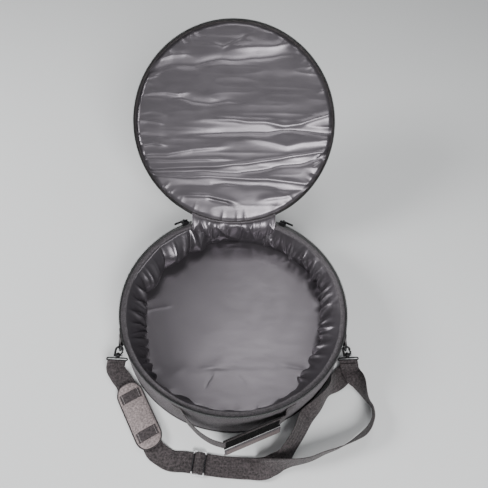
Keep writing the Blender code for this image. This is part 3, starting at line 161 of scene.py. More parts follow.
# Air between pieces that lie on each other, and how far a stitch stands off its cloth
AIR = 0.0003
STITCH_LIFT = 0.0001
ROUTE_STEP = 0.005
SEWN_RADIUS = 0.2411

# Hook, measured down from the ring's bar
RING_BOW = 0.021
RING_WIRE = 0.0020
HOOK_CROWN = 0.0232
HOOK_BEND = 0.00675
HOOK_NOSE = radians(12)
NOSE_HALF = 0.0024
ARM_HALF = 0.0019
LUG_REACH = 0.0006
HOOK_WIRE = 0.00225
BARREL_TOP = 0.0345
BARREL_LOW = 0.0405
BARREL_RADIUS = 0.0045
POST_RADIUS = 0.0020
EYE_HALF = 0.021
EYE_UPPER = 0.0443
EYE_LOWER = 0.0501
EYE_WIRE = 0.0015
GATE_PIN_X = 0.0067
GATE_PIN_Z = 0.0356
GATE_TIP = 0.0258
GATE_WIDTH = 0.0032
GATE_THICKNESS = 0.0024
LUG = 0.0012
LUG_RADIUS = 0.0022
LOOP_FOOT = 0.0627
LOOP_OFFSET = 0.00095
# How far from its end loop the strap would lift with each ring, and the stretch that would lift whole; the
# strap is not lifted
STRAP_LIFT = {"left": 0.042, "right": 0.085}
STRAP_SEWN = 0.006

# The strap's route: place, then width direction
LEFT_END = [
    (-0.2473, -0.1044, 0.0228, 0.931, 0.086, -0.355),
    (-0.2489, -0.1079, 0.0177, 0.931, 0.086, -0.355),
    (-0.2501, -0.1103, 0.0141, 0.931, 0.086, -0.355),
    (-0.2405, -0.1265, 0.0082, 0.923, 0.349, -0.164),
    (-0.2264, -0.1430, 0.0054, 0.868, 0.497, 0),
    (-0.2239, -0.1474, 0.0054, 0.868, 0.497, 0),
    (-0.1891, -0.2081, 0.0054, 0.868, 0.497, 0),
    (-0.1543, -0.2689, 0.0054, 0.868, 0.497, 0),
    (-0.1518, -0.2732, 0.0054, 0.868, 0.497, 0),
    (-0.1387, -0.2822, 0.0033, 0.741, 0.671, 0),
    (-0.1229, -0.2904, 0.0015, 0.399, 0.917, 0),
    (-0.0933, -0.2934, 0.0011, 0.135, 0.991, 0),
]
ADJUSTER_WAVE = [
    (-0.0933, -0.2934, 0.0011, 0.135, 0.991, 0),
    (-0.0814, -0.2950, 0.0011, 0.135, 0.991, 0),
    (-0.0774, -0.2956, 0.0024, 0.135, 0.991, 0),
    (-0.0694, -0.2967, 0.0090, 0.135, 0.991, 0),
    (-0.0660, -0.2971, 0.0104, 0.135, 0.991, 0),
    (-0.0626, -0.2976, 0.0090, 0.135, 0.991, 0),
    (-0.0546, -0.2987, 0.0030, 0.135, 0.991, 0),
    (-0.0506, -0.2992, 0.0030, 0.135, 0.991, 0),
    (-0.0387, -0.3008, 0.0030, 0.135, 0.991, 0),
    (-0.0204, -0.3033, 0.0030, 0.135, 0.991, 0),
]
OUTER_LAYER = [
    (-0.0204, -0.3033, 0.0030, 0.135, 0.991, 0),
    (0.0312, -0.3072, 0.0040, 0, 1, 0),
    (0.0444, -0.3086, 0.0049, 0, 1, 0.03),
    (0.0564, -0.3094, 0.0116, -0.05, 0.935, 0.352),
    (0.0725, -0.3072, 0.0193, -0.15, 0.642, 0.752),
    (0.0907, -0.3043, 0.0221, -0.16, 0.36, 0.919),
    (0.1090, -0.3014, 0.0226, -0.17, 0.16, 0.972),
    (0.1272, -0.2986, 0.0206, -0.19, 0.07, 0.979),
    (0.1459, -0.2945, 0.0198, -0.2, 0.01, 0.98),
    (0.1766, -0.2832, 0.0198, -0.23, -0.08, 0.97),
    (0.2035, -0.2748, 0.0198, -0.239, -0.16, 0.958),
    (0.2316, -0.2626, 0.0198, -0.201, -0.292, 0.935),
    (0.2568, -0.2477, 0.0198, -0.12, -0.412, 0.903),
    (0.2731, -0.2304, 0.0198, -0.13, -0.34, 0.931),
    (0.2820, -0.2119, 0.0198, -0.18, -0.29, 0.94),
    (0.2822, -0.1968, 0.0198, -0.16, -0.261, 0.952),
    (0.2753, -0.1836, 0.0198, -0.08, -0.22, 0.972),
    (0.2693, -0.1680, 0.0209, 0.151, -0.151, 0.977),
    (0.2640, -0.1536, 0.0225, 0.482, -0.05, 0.874),
    (0.2604, -0.1440, 0.0233, 0.707, 0, 0.707),
    (0.2549, -0.1344, 0.0206, 0.882, 0.02, 0.471),
    (0.2491, -0.1135, 0.0160, 0.931, -0.086, 0.355),
    (0.2479, -0.1110, 0.0196, 0.931, -0.086, 0.355),
    (0.2463, -0.1076, 0.0246, 0.931, -0.086, 0.355),
]
RETURN_LAYER = [
    (-0.0204, -0.3033, 0.0011, 0.135, 0.991, 0),
    (0.0312, -0.3067, 0.0013, -0.01, 1, 0),
    (0.0504, -0.3062, 0.0013, -0.02, 1, 0),
    (0.0629, -0.3048, 0.0014, -0.06, 0.998, 0.02),
    (0.0799, -0.2986, 0.0060, -0.299, 0.896, 0.329),
    (0.0965, -0.2875, 0.0150, -0.522, 0.482, 0.703),
    (0.1109, -0.2700, 0.0180, -0.499, 0.359, 0.789),
    (0.1310, -0.2414, 0.0165, -0.601, 0.3, 0.741),
    (0.1464, -0.2150, 0.0150, -0.679, 0.379, 0.629),
    (0.1680, -0.1951, 0.0165, -0.402, 0.422, 0.813),
    (0.2021, -0.1584, 0.0180, -0.28, 0.24, 0.93),
    (0.2160, -0.1440, 0.0121, -0.691, 0.458, 0.559),
    (0.2292, -0.1320, 0.0054, -0.883, 0.462, 0.08),
    (0.2412, -0.1200, 0.0056, -0.946, 0.302, -0.121),
    (0.2511, -0.1072, 0.0123, -0.931, 0.086, -0.355),
    (0.2499, -0.1047, 0.0159, -0.931, 0.086, -0.355),
    (0.2483, -0.1013, 0.0209, -0.931, 0.086, -0.355),
]
ADJUSTER_PLACE = (-0.0660, -0.29712, 0.0056)
ADJUSTER_AIM = (0.99085, -0.13498, 0.0)
ADJUSTER_WIRE = 0.0015
ADJUSTER_HALF_LENGTH = 0.0115
PAD_PLACE = (-0.18907, -0.20812, 0.0)
PAD_AIM = (0.49697, -0.86777, 0.0)
PAD_HALF_LENGTH = 0.070
PAD_HALF_WIDTH = 0.025
PAD_END_HALF_WIDTH = 0.018
PAD_TAPER = 0.022
PAD_FACE_LOW = 0.0065
PAD_FACE_TOP = 0.0125
PAD_BACK_TOP = 0.0044
PAD_CROWN = 0.0030
KEEPER_AT = 0.042
KEEPER_HALF_LENGTH = 0.010
KEEPER_HALF_SPAN = 0.0205
KEEPER_SEAM = 0.0195 * 0.85
KEEPER_THICKNESS = 0.0014
KEEPER_SAG = 0.0020

# Carry handle
HANDLE_HEIGHT = 0.070
HANDLE_LEG = radians(27.0)
HANDLE_PATCH = radians(4.0)
LEG_SEAM = 0.006
LEG_SEAM_HALF_HEIGHT = 0.016
LEFT_JOINT = (-0.08496, -0.24048)
RIGHT_CORNER = (0.0965, -0.2323)
RIGHT_JOINT = (0.09144, -0.2352)
HANDLE_ROUTE = [
    (-0.0847, -0.2407), (-0.0629, -0.2604), (-0.0396, -0.2741), (-0.0199, -0.2801),
]
HANDLE_END = [(0.0883, -0.2376), (0.0917, -0.2350)]
GRIP_LENGTH = 0.1143
GRIP_CLOTH = 0.0025
GRIP_FLAP_REACH = 0.030
GRIP_HOOK_BACKING = 0.0006
GRIP_STRIP_LENGTH = GRIP_LENGTH * 0.94

# Rows of random heights behind the noise, after which it repeats
LATTICE = 64
# A fold that starts or stops further across the disc than this runs into its edge
AT_EDGE_SHARE = 0.8
# Folds of the lid's lining, on a disc of radius 1 with the far side up:
# height in metres, half width as a share, then (across, up) points
LID_FOLD_SHARES = [
    (0.0020, 0.030, [(-0.89, 0.58), (-0.75, 0.61), (-0.62, 0.65), (-0.49, 0.66), (-0.38, 0.63)]),
    (-0.0030, 0.046, [
        (-0.92, 0.50), (-0.68, 0.546), (-0.40, 0.574), (-0.14, 0.63), (0.24, 0.638), (0.46, 0.69),
        (0.80, 0.70),
    ]),
    (0.0030, 0.050, [(-0.15, 0.70), (0.10, 0.73), (0.32, 0.752), (0.50, 0.78), (0.70, 0.82)]),
    (0.0010, 0.020, [(-0.31, 0.816), (-0.125, 0.738), (0.03, 0.816), (0.216, 0.915)]),
    (0.0016, 0.024, [(-0.96, 0.415), (-0.865, 0.42), (-0.72, 0.46)]),
    (0.0020, 0.026, [(-0.96, 0.262), (-0.69, 0.284), (-0.566, 0.27), (-0.40, 0.30)]),
    (-0.0024, 0.040, [(-0.78, 0.225), (-0.552, 0.25), (-0.424, 0.213), (-0.253, 0.199), (0.20, 0.21)]),
    (0.0012, 0.030, [(-0.94, 0.09), (-0.83, 0.10), (-0.66, 0.06)]),
    (0.0036, 0.036, [
        (-0.52, -0.01), (-0.31, 0.028), (0.03, 0.028), (0.316, 0.007), (0.50, -0.02), (0.67, 0.0),
        (0.81, 0.057), (0.984, 0.12),
    ]),
    (-0.0044, 0.040, [
        (-0.62, -0.13), (-0.31, -0.10), (0.03, -0.092), (0.316, -0.078), (0.557, -0.064), (0.95, -0.09),
    ]),
    (0.0026, 0.050, [(0.0, -0.13), (0.316, -0.177), (0.53, -0.213), (0.74, -0.20), (0.984, -0.163)]),
    (0.0020, 0.018, [(-0.95, -0.234), (-0.82, -0.22), (-0.66, -0.24)]),
    (0.0028, 0.032, [(-0.95, -0.333), (-0.68, -0.319), (-0.424, -0.262), (-0.18, -0.248), (0.02, -0.22)]),
    (0.0020, 0.016, [(-0.92, -0.383), (-0.637, -0.383), (-0.253, -0.369), (0.14, -0.362)]),
    (0.0030, 0.022, [
        (-0.89, -0.47), (-0.71, -0.461), (-0.253, -0.44), (0.117, -0.411), (0.387, -0.362), (0.67, -0.319),
        (0.885, -0.277),
    ]),
    (-0.0036, 0.036, [
        (-0.836, -0.51), (-0.395, -0.496), (0.03, -0.50), (0.316, -0.447), (0.67, -0.39), (0.885, -0.333),
    ]),
    (0.0028, 0.026, [
        (-0.82, -0.532), (-0.54, -0.54), (-0.25, -0.535), (0.17, -0.553), (0.46, -0.58), (0.82, -0.61),
    ]),
    (-0.0024, 0.045, [(-0.80, -0.62), (-0.40, -0.617), (-0.11, -0.617), (0.30, -0.635), (0.82, -0.67)]),
    (0.0030, 0.030, [(-0.66, -0.73), (-0.44, -0.73), (-0.25, -0.73), (-0.054, -0.787), (0.14, -0.85)]),
    (-0.0024, 0.022, [(-0.30, -0.75), (-0.08, -0.81), (0.02, -0.86)]),
    (0.0026, 0.040, [(0.20, -0.78), (0.42, -0.74), (0.66, -0.70)]),
    (0.0016, 0.020, [(-0.93, 0.0), (-0.80, -0.01), (-0.68, -0.03)]),
    (-0.0014, 0.018, [(-0.93, -0.13), (-0.80, -0.14), (-0.62, -0.16)]),
    (0.0016, 0.016, [(0.80, -0.36), (0.87, -0.31), (0.95, -0.24)]),
    (-0.0018, 0.016, [(0.78, -0.43), (0.87, -0.37), (0.93, -0.34)]),
    (-0.0014, 0.016, [(0.76, -0.49), (0.84, -0.50), (0.90, -0.52)]),
]
# Stretches of the wall's lining: first and last azimuth in degrees, count, depth, spread and seed
WALL_FOLD_STRETCHES = [
    (-54, 22, 12, 0.0170, 1.3, 461),
    (22, 72, 10, 0.0120, 1.0, 462),
    (166, 222, 18, 0.0110, 0.6, 463),
    (226, 250, 3, 0.0090, 2.0, 465),
    (250, 298, 4, 0.0045, 1.8, 464),
]
# Where the wall's lining bulges, and where it lies quiet: azimuth, reach and amount
RIGHT_BULGE = (radians(-22), radians(28), 0.016)
LEFT_BULGE = (radians(186), radians(26), 0.018)
QUIET_FRONT = (radians(270), radians(36), 0.8)
# The drape of lining at the back left hangs in three lobes between these azimuths
DRAPE_START = radians(104)
DRAPE_END = radians(168)
DRAPE_DEPTH = 0.012
DRAPE_LOBE_DEPTH = 0.013
DRAPE_PLEAT_DEPTH = 0.0030
LOBE_TURN = 3 * pi / (DRAPE_END - DRAPE_START)
# Soft folds of the base lining, the same way as the lid's with the front down
BASE_FOLD_SHARES = [
    (0.0016, 0.080, [(-0.70, -0.62), (-0.45, -0.50), (-0.10, -0.47), (0.25, -0.48), (0.70, -0.50)]),
    (0.0006, 0.020, [(-0.36, -0.50), (-0.18, -0.49), (0.02, -0.50)]),
    (-0.0007, 0.018, [(-0.27, -0.70), (-0.22, -0.60), (-0.17, -0.52)]),
    (-0.0005, 0.016, [(0.02, -0.55), (0.08, -0.61), (0.13, -0.66)]),
    (0.0008, 0.022, [(0.42, -0.46), (0.56, -0.49), (0.70, -0.52)]),
    (0.0007, 0.020, [(-0.86, 0.10), (-0.72, 0.14), (-0.60, 0.16)]),
    (0.0008, 0.022, [(-0.30, 0.86), (0.00, 0.88), (0.30, 0.87)]),
]


class DrumbagSizes(bpy.types.PropertyGroup):
    """Sizes of the cloth that a maker would change."""

    wall_radius: bpy.props.FloatProperty(
        name="Wall radius", description="Outer radius of the side wall",
        default=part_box("wall_panel")[1].x, min=0.1, unit="LENGTH",
    )
    lid_fold_share: bpy.props.FloatProperty(
        name="Lid fold share", description="How deep the folds of the lid's lining are drawn",
        default=1.0, min=0.0, max=1.5, subtype="FACTOR",
    )
    lining_belly: bpy.props.FloatProperty(
        name="Lining belly", description="How far the wall's lining hangs into the bag",
        default=0.012, min=0.0, unit="LENGTH",
    )
    lining_thickness: bpy.props.FloatProperty(
        name="Lining thickness", description="Thickness of the lining cloth",
        default=0.0006, min=0.0001, unit="LENGTH",
    )
    gather_depth: bpy.props.FloatProperty(
        name="Gather depth", description="Depth of the gathers in the hinge lining",
        default=0.0042, min=0.0, unit="LENGTH",
    )


class DrumbagColours(bpy.types.PropertyGroup):
    """Colours of the bag's cloths and metals."""

    outer: bpy.props.FloatVectorProperty(
        name="Outer cloth", description="Woven cloth of the wall, base and lid",
        default=(0.108, 0.096, 0.105), subtype="COLOR",
    )
    facing: bpy.props.FloatVectorProperty(
        name="Facing", description="Band that binds the wall's top edge",
        default=(0.098, 0.089, 0.097), subtype="COLOR",
    )
    lining: bpy.props.FloatVectorProperty(
        name="Lining", description="Glossy lining of the lid and body",
        default=(0.150, 0.138, 0.152), subtype="COLOR",
    )
    webbing: bpy.props.FloatVectorProperty(
        name="Webbing", description="Shoulder strap and handle",
        default=(0.047, 0.038, 0.040), subtype="COLOR",
    )
    pad: bpy.props.FloatVectorProperty(
        name="Shoulder pad", description="Cloth of the shoulder pad",
        default=(0.235, 0.196, 0.194), subtype="COLOR",
    )
    floor: bpy.props.FloatVectorProperty(
        name="Floor", description="Plain floor under the bag",
        default=(0.82, 0.83, 0.83), subtype="COLOR",
    )


class DrumbagStage(bpy.types.PropertyGroup):
    """Camera and lights."""

    camera_place: bpy.props.FloatVectorProperty(
        name="Camera place", description="Where the camera stands",
        default=(-0.0144, -0.4763, 0.9587), subtype="TRANSLATION",
    )
    camera_pitch: bpy.props.FloatProperty(
        name="Camera pitch", description="How far the camera looks down",
        default=radians(53.754), subtype="ANGLE",
    )
    camera_yaw: bpy.props.FloatProperty(
        name="Camera yaw", description="How far the camera looks to the right of the Y axis",
        default=radians(3.435), subtype="ANGLE",
    )
    camera_roll: bpy.props.FloatProperty(
        name="Camera roll", description="How far the camera is rolled",
        default=radians(3.238), subtype="ANGLE",
    )
    lens: bpy.props.FloatProperty(
        name="Lens", description="Focal length on a sensor 36 mm wide", default=33.79, min=10.0,
    )
    key_power: bpy.props.FloatProperty(
        name="Key power", description="Power of the soft light beside the camera", default=92.0, min=0.0,
    )
    top_power: bpy.props.FloatProperty(
        name="Top power", description="Power of the soft light overhead", default=15.0, min=0.0,
    )
    side_power: bpy.props.FloatProperty(
        name="Side power", description="Power of the soft light at the left", default=60.0, min=0.0,
    )
    sky: bpy.props.FloatProperty(
        name="Sky", description="Strength of the even light all round", default=0.17, min=0.0,
    )


def opened(points):
    """Turn points drawn on the closed lid about the hinge line to where the lid stands open."""
    y = points[..., 1] - HINGE_Y
    z = points[..., 2] - HINGE_Z
    turned = points.copy()
    turned[..., 1] = HINGE_Y + y * cos(LID_OPEN) + z * sin(LID_OPEN)
    turned[..., 2] = HINGE_Z - y * sin(LID_OPEN) + z * cos(LID_OPEN)
    return turned


def unit(vectors):
    """Vectors at length 1."""
    vectors = np.asarray(vectors, float)
    return vectors / np.linalg.norm(vectors, axis=-1, keepdims=True)


def rise(value):
    """Smooth step from 0 to 1: t²(3 - 2t) with t held between 0 and 1."""
    t = np.clip(value, 0.0, 1.0)
    return t * t * (3 - 2 * t)


def bell(turn, bulge):
    """A bump round one azimuth, times its amount: exp(-((turn - azimuth) / reach)²)."""
    azimuth, reach, amount = bulge
    return np.exp(-((turn - azimuth) / reach) ** 2) * amount


def joined(*coordinates):
    """Points from their coordinates, which may be numbers or arrays that fit together."""
    return np.stack(np.broadcast_arrays(*coordinates), axis=-1)


def circle(count):
    """Angles at even steps round a circle."""
    return np.arange(count) * tau / count


def softened(loop, times):
    """Round a closed loop's corners: each point becomes (before + 2 here + after) / 4, some times over."""
    for _ in range(times):
        loop = (np.roll(loop, 1, axis=0) + 2 * loop + np.roll(loop, -1, axis=0)) / 4
    return loop


def polar(radius, azimuth, height):
    """Points at a radius, azimuth and height, which may be arrays that fit together."""
    return joined(radius * np.cos(azimuth), radius * np.sin(azimuth), height)


def noise(x, y, seed, turns=LATTICE):
    """Value noise: random heights on a unit lattice, joined by a smoothstep; x repeats after `turns`."""
    table = np.random.default_rng(seed).uniform(-1, 1, (turns, LATTICE))
    i = np.floor(x).astype(int)
    j = np.floor(y).astype(int)
    u = rise(x - i)
    v = rise(y - j)
    here = j % LATTICE
    there = (j + 1) % LATTICE
    near = table[i % turns, here] * (1 - v) + table[i % turns, there] * v
    far = table[(i + 1) % turns, here] * (1 - v) + table[(i + 1) % turns, there] * v
    return near * (1 - u) + far * u


def crease(x, y, seed, turns=LATTICE):
    """Ridged noise: sharp crests where the noise passes through nought, from -1 to 1."""
    return 1 - 2 * np.abs(noise(x, y, seed, turns)) ** 0.7


def folds(across, up, table):
    """Sum of folds: each is height / (1 + (d / width)²)^1.5, d being the distance from its centre line.

    The centre line runs through the fold's points with a slight bend and fades out at both ends,
    unless it starts or stops at the disc's edge. The upper flank is gentler than the lower one.
    """
    total = np.zeros_like(across)
    for height, width, points in table:
        line = np.array(points)
        line = line[np.argsort(line[:, 0])]
        centre = np.interp(across, line[:, 0], line[:, 1])
        bend = noise(across * 5.0 + height * 9000, up * 0.0, 5) * width * 0.35
        distance = (up - centre - bend) / width
        distance = np.where(distance > 0, distance * 0.8, distance * 1.4)
        reach = (line[-1, 0] - line[0, 0]) * 0.34
        head = 1.0 if line[0, 0] < -AT_EDGE_SHARE else rise((across - line[0, 0]) / reach)
        tail = 1.0 if line[-1, 0] > AT_EDGE_SHARE else rise((line[-1, 0] - across) / reach)
        total += height * head * tail / (1 + distance ** 2) ** 1.5
    return total


def grid(points, around=False, along=False, caps=False, turned=False):
    """A shape: quads between the rows and columns of an array of points, with a map in metres.

    `around` joins the last column to the first, `along` the last row to the first, `caps` closes
    both ends with a fan round their middles, and `turned` makes the quads face the other way.
    The shape is its points, the corners of its faces in one row, each face's count and the map.
    """
    if turned:
        points = points[:, ::-1]
    index = np.arange(points.shape[0] * points.shape[1]).reshape(points.shape[:2])
    padded = points
    if along:
        index = np.vstack([index, index[:1]])
        padded = np.concatenate([padded, padded[:1]], axis=0)
    if around:
        index = np.hstack([index, index[:, :1]])
        padded = np.concatenate([padded, padded[:, :1]], axis=1)
    right = np.linalg.norm(np.diff(padded, axis=1), axis=2).mean(axis=0)
    forward = np.linalg.norm(np.diff(padded, axis=0), axis=2).mean(axis=1)
    u = np.concatenate([[0.0], np.cumsum(right)])
    v = np.concatenate([[0.0], np.cumsum(forward)])
    chart = np.stack(np.meshgrid(u, v), axis=-1)
    steps = ((0, 0), (0, 1), (1, 1), (1, 0))
    bottom = index.shape[0] - 1
    side = index.shape[1] - 1
    corners = np.stack([index[a:bottom + a, b:side + b] for a, b in steps], axis=-1).ravel()
    loops = np.stack([chart[a:bottom + a, b:side + b] for a, b in steps], axis=2).reshape(-1, 2)
    counts = np.full(bottom * side, 4)
    vertices = points.reshape(-1, 3)
    if caps:
        hubs = len(vertices) + np.arange(2)
        fans = [
            joined(ring[1:], ring[:-1], hub)
            for ring, hub in zip((index[0], index[-1, ::-1]), hubs)
        ]
        corners = np.concatenate([corners, np.ravel(fans)])
        counts = np.concatenate([counts, np.full(2 * side, 3)])
        loops = np.vstack([loops, np.zeros((6 * side, 2))])
        vertices = np.vstack([vertices, points[0].mean(axis=0), points[-1].mean(axis=0)])
    return vertices, corners, counts, loops


def surface(name, shapes, finish, smooth=SHARP_EDGE):
    """One object of one or more shapes, with edges sharper than `smooth` degrees kept sharp."""
    vertices, corners, counts, chart = zip(*shapes)
    first = np.cumsum([0] + [len(points) for points in vertices[:-1]])
    corners = np.concatenate([row + start for row, start in zip(corners, first)])
    counts = np.concatenate(counts)
    mesh = bpy.data.meshes.new(name)
    mesh.vertices.add(sum(len(points) for points in vertices))
    mesh.vertices.foreach_set("co", np.vstack(vertices).astype(np.float32).ravel())
    mesh.loops.add(len(corners))
    mesh.loops.foreach_set("vertex_index", corners.astype(np.int32))
    mesh.polygons.add(len(counts))
    mesh.polygons.foreach_set("loop_start", (np.cumsum(counts) - counts).astype(np.int32))
    mesh.update(calc_edges=True)
    layer = mesh.uv_layers.new(name="metres")
    layer.data.foreach_set("uv", np.vstack(chart).astype(np.float32).ravel())
    mesh.materials.append(paint(finish))
    mesh.shade_smooth()
    mesh.set_sharp_from_angle(angle=radians(smooth))
    made = bpy.data.objects.new(name, mesh)
    bpy.context.scene.collection.objects.link(made)
    return made


def piece(name, body, shapes, finish, slot, nodes=(), smooth=SHARP_EDGE):
    """A surface that rides on a body and stands for frame nodes, which it hides; its slot is not used."""
    made = surface(name, shapes, finish, smooth)
    if body:
        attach(made, body)
    if nodes:
        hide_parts(*nodes)
    return made


def thicken(made, thickness, offset):
    """Give an open sheet its thickness."""
    wall = made.modifiers.new("thickness", "SOLIDIFY")
    wall.thickness = thickness
    wall.offset = offset


def sweep(path, sides, section, along=False):
    """Carry a section along a path: point = path + a side + b facing, facing = heading x side."""
    path = np.asarray(path, float)
    if along:
        heading = np.roll(path, -1, axis=0) - np.roll(path, 1, axis=0)
    else:
        heading = np.gradient(path, axis=0)
    heading = unit(heading)
    sides = np.broadcast_to(np.asarray(sides, float), path.shape)
    sides = unit(sides - heading * (heading * sides).sum(axis=1, keepdims=True))
    facing = np.cross(heading, sides)
    section = np.asarray(section, float)
    if section.ndim == 2:
        section = np.broadcast_to(section, (len(path), *section.shape))
    points = (
        path[:, None]
        + section[..., 0, None] * sides[:, None]
        + section[..., 1, None] * facing[:, None]
    )
    return grid(points, around=True, along=along, caps=not along)


def round_section(radius, count, flat=1.0):
    """A circle of points, pressed to an ellipse by `flat`."""
    turn = circle(count)
    return joined(radius * np.cos(turn), radius * flat * np.sin(turn))


def flat_section(width, thickness, across=10, end=4):
    """A strip's outline with round edges: two straight sides and two half circles."""
    half = width / 2 - thickness / 2
    straight = np.linspace(half, -half, across)
    turn = np.linspace(0, pi, end + 2)[1:-1]
    top = joined(straight, thickness / 2)
    left = joined(-half - thickness / 2 * np.sin(turn), thickness / 2 * np.cos(turn))
    return np.vstack([top, left, -top, -left])


def rod(path, radius, sides, count=12, along=False, flat=1.0):
    """A round bar along a path; its ends are domed by drawing the last steps in."""
    section = round_section(radius, count, flat)
    if along:
        return sweep(path, sides, section, along=True)
    path = np.asarray(path, float)
    steps = np.linspace(0, pi / 2, 4)[1:]
    first = unit(path[0] - path[1])
    last = unit(path[-1] - path[-2])
    head = path[0] + first * (radius * np.sin(steps))[::-1, None]
    tail = path[-1] + last * (radius * np.sin(steps))[:, None]
    scale = np.cos(steps * 0.96)
    full = np.vstack([head, path, tail])
    grown = np.concatenate([scale[::-1], np.ones(len(path)), scale])
    return sweep(full, sides, section[None] * grown[:, None, None])


def lathe(profile, start, axis, side, count=24):
    """Turn (radius, distance) points round an axis: each ring is a circle square to it."""
    axis = unit(axis)
    side = unit(side)
    other = np.cross(axis, side)
    profile = np.asarray(profile, float)
    turn = circle(count)
    ring = np.cos(turn)[:, None] * side + np.sin(turn)[:, None] * other
    points = start + profile[:, None, 1, None] * axis + profile[:, None, 0, None] * ring[None]
    return grid(points, around=True, caps=True)


def revolve(radii, heights, azimuth, full, lid=False):
    """Sweep a closed outline round Z: rows follow the azimuth and columns the outline."""
    points = polar(radii, azimuth[:, None], heights)
    if lid:
        points = opened(points)
    return grid(points, around=True, along=full, caps=not full)


def box_shape(low, high, frame4):
    """A block with soft corners, in a local frame.

    Each point p of a unit sphere's grid is pushed out to a superellipsoid: p / (Σ|p|⁸)^(1/8).
    """
    turn = np.linspace(-pi, pi, 33)[:-1]
    tilt = np.linspace(-pi / 2, pi / 2, 17)
    turn, tilt = np.meshgrid(turn, tilt)
    ball = joined(np.cos(tilt) * np.cos(turn), np.cos(tilt) * np.sin(turn), np.sin(tilt))
    swell = 1 / (np.abs(ball) ** 8).sum(axis=-1, keepdims=True) ** 0.125
    low = np.asarray(low, float)
    high = np.asarray(high, float)
    local = (low + high) / 2 + ball * swell * (high - low) / 2
    return grid(carried(local, frame4), around=True)


def carried(points, frame4):
    """Points of a local frame put into the world."""
    return points @ frame4[:3, :3].T + frame4[:3, 3]


def local_frame(aim, across, place):
    """A 4x4 frame with X along the aim, Y across and Z their product."""
    aim = unit(aim)
    across = unit(across)
    made = np.eye(4)
    made[:3, 0] = aim
    made[:3, 1] = across
    made[:3, 2] = np.cross(aim, across)
    made[:3, 3] = place
    return made


def smooth_route(stations, step):
    """A cubic through the stations: each slope weighs the spans beside it, the shorter one more.

    Place = here + (there - here) t²(3 - 2t) + span (slope_here t(1 - t)² + slope_there t²(t - 1)).
    """
    stations = np.asarray(stations, float)
    change = np.diff(stations, axis=0)
    span = np.linalg.norm(change[:, :3], axis=1)[:, None]
    secant = change / span
    slope = np.empty_like(stations)
    slope[0] = secant[0]
    slope[-1] = secant[-1]
    slope[1:-1] = (secant[:-1] * span[1:] + secant[1:] * span[:-1]) / (span[:-1] + span[1:])
    count = np.maximum(1, np.round(span[:, 0] / step)).astype(int)
    which = np.repeat(np.arange(len(span)), count)
    first = np.repeat(np.cumsum(count) - count, count)
    t = ((np.arange(len(which)) - first) / count[which])[:, None]
    here = stations[which]
    there = stations[which + 1]
    route = here + (there - here) * t * t * (3 - 2 * t)
    route += span[which] * (slope[which] * t * (1 - t) ** 2 + slope[which + 1] * t * t * (t - 1))
    return np.vstack([route, stations[-1:]])


def webbing_strip(route):
    """Flat webbing along (place, width direction) rows, never lower than the floor."""
    path = route[:, :3].copy()
    heading = unit(np.gradient(path, axis=0))
    side = route[:, 3:] - heading * (heading * route[:, 3:]).sum(axis=1, keepdims=True)
    side = unit(side) * STRAP_WIDTH / 2
    facing = unit(np.cross(heading, side))
    lowest = FLOOR_GAP + np.abs(side[:, 2]) + np.abs(facing[:, 2]) * WEBBING / 2
    path[:, 2] = np.maximum(path[:, 2], lowest)
    return sweep(path, side, flat_section(STRAP_WIDTH, WEBBING))


def stitches(places, directions, lifts, length=STITCH_LENGTH, radius=STITCH_RADIUS):
    """Short threads: each is a capsule of 4 rings of 5 points along its direction."""
    directions = unit(directions)
    lifts = unit(lifts)
    across = np.cross(directions, lifts)
    steps = np.array([-0.5, -0.3, 0.3, 0.5]) * length
    sizes = np.array([0.35, 1.0, 1.0, 0.35]) * radius
    turn = circle(5)
    ring = np.cos(turn)[:, None, None] * across + np.sin(turn)[:, None, None] * lifts
    points = (
        places[None, None]
        + steps[:, None, None, None] * directions[None, None]
        + sizes[:, None, None, None] * ring[None]
    )
    points = points.transpose(2, 0, 1, 3)
    count = len(places)
    index = np.arange(20).reshape(4, 5)
    index = np.hstack([index, index[:, :1]])
    quads = [index[:-1, :-1], index[1:, :-1], index[1:, 1:], index[:-1, 1:]]
    quads = np.stack(quads, axis=-1).reshape(-1, 4)
    first = 20 * np.arange(count)[:, None, None]
    ends = np.array([[0, 1, 2, 3, 4], [19, 18, 17, 16, 15]])
    corners = np.concatenate([(quads + first).ravel(), (ends + first).ravel()])
    counts = np.repeat([4, 5], [count * len(quads), count * len(ends)])
    return points.reshape(-1, 3), corners, counts, np.zeros((len(corners), 2))


def squared(turn, long_power, wide_power):
    """A rounded oblong of half size 1: |cos|^p and |sin|^q, with the signs of cos and sin."""
    long = np.sign(np.cos(turn)) * np.abs(np.cos(turn)) ** long_power
    wide = np.sign(np.sin(turn)) * np.abs(np.sin(turn)) ** wide_power
    return long, wide


def disc_grid(radius, cells):
    """A square grid pressed into a disc: x = a sqrt(1 - b²/2), y = b sqrt(1 - a²/2)."""
    side = np.linspace(-1, 1, cells + 1)
    b, a = np.meshgrid(side, side, indexing="ij")
    return radius * a * np.sqrt(1 - b * b / 2), radius * b * np.sqrt(1 - a * a / 2)


class Number:
    """A socket's number: each operator adds a Math node to its finish."""

    def __init__(self, finish, socket):
        self.finish = finish
        self.socket = socket

    def math(self, operation, *values):
        """A Math node fed with these values."""
        return self.finish.node("ShaderNodeMath", {"operation": operation}, values)

    def __add__(self, other):
        return self.math("ADD", self, other)

    __radd__ = __add__

    def __mul__(self, other):
        return self.math("MULTIPLY", self, other)

    __rmul__ = __mul__

    def __sub__(self, other):
        return self.math("SUBTRACT", self, other)

    def __rsub__(self, other):
        return self.math("SUBTRACT", other, self)

    def sine(self):
        """The sine of the number, taken in radians."""
        return self.math("SINE", self)

    def size(self):
        """The number without its sign."""
        return self.math("ABSOLUTE", self)

    def bounce(self, length):
        """The number folded to and fro between 0 and a length."""
        return self.math("PINGPONG", self, length)


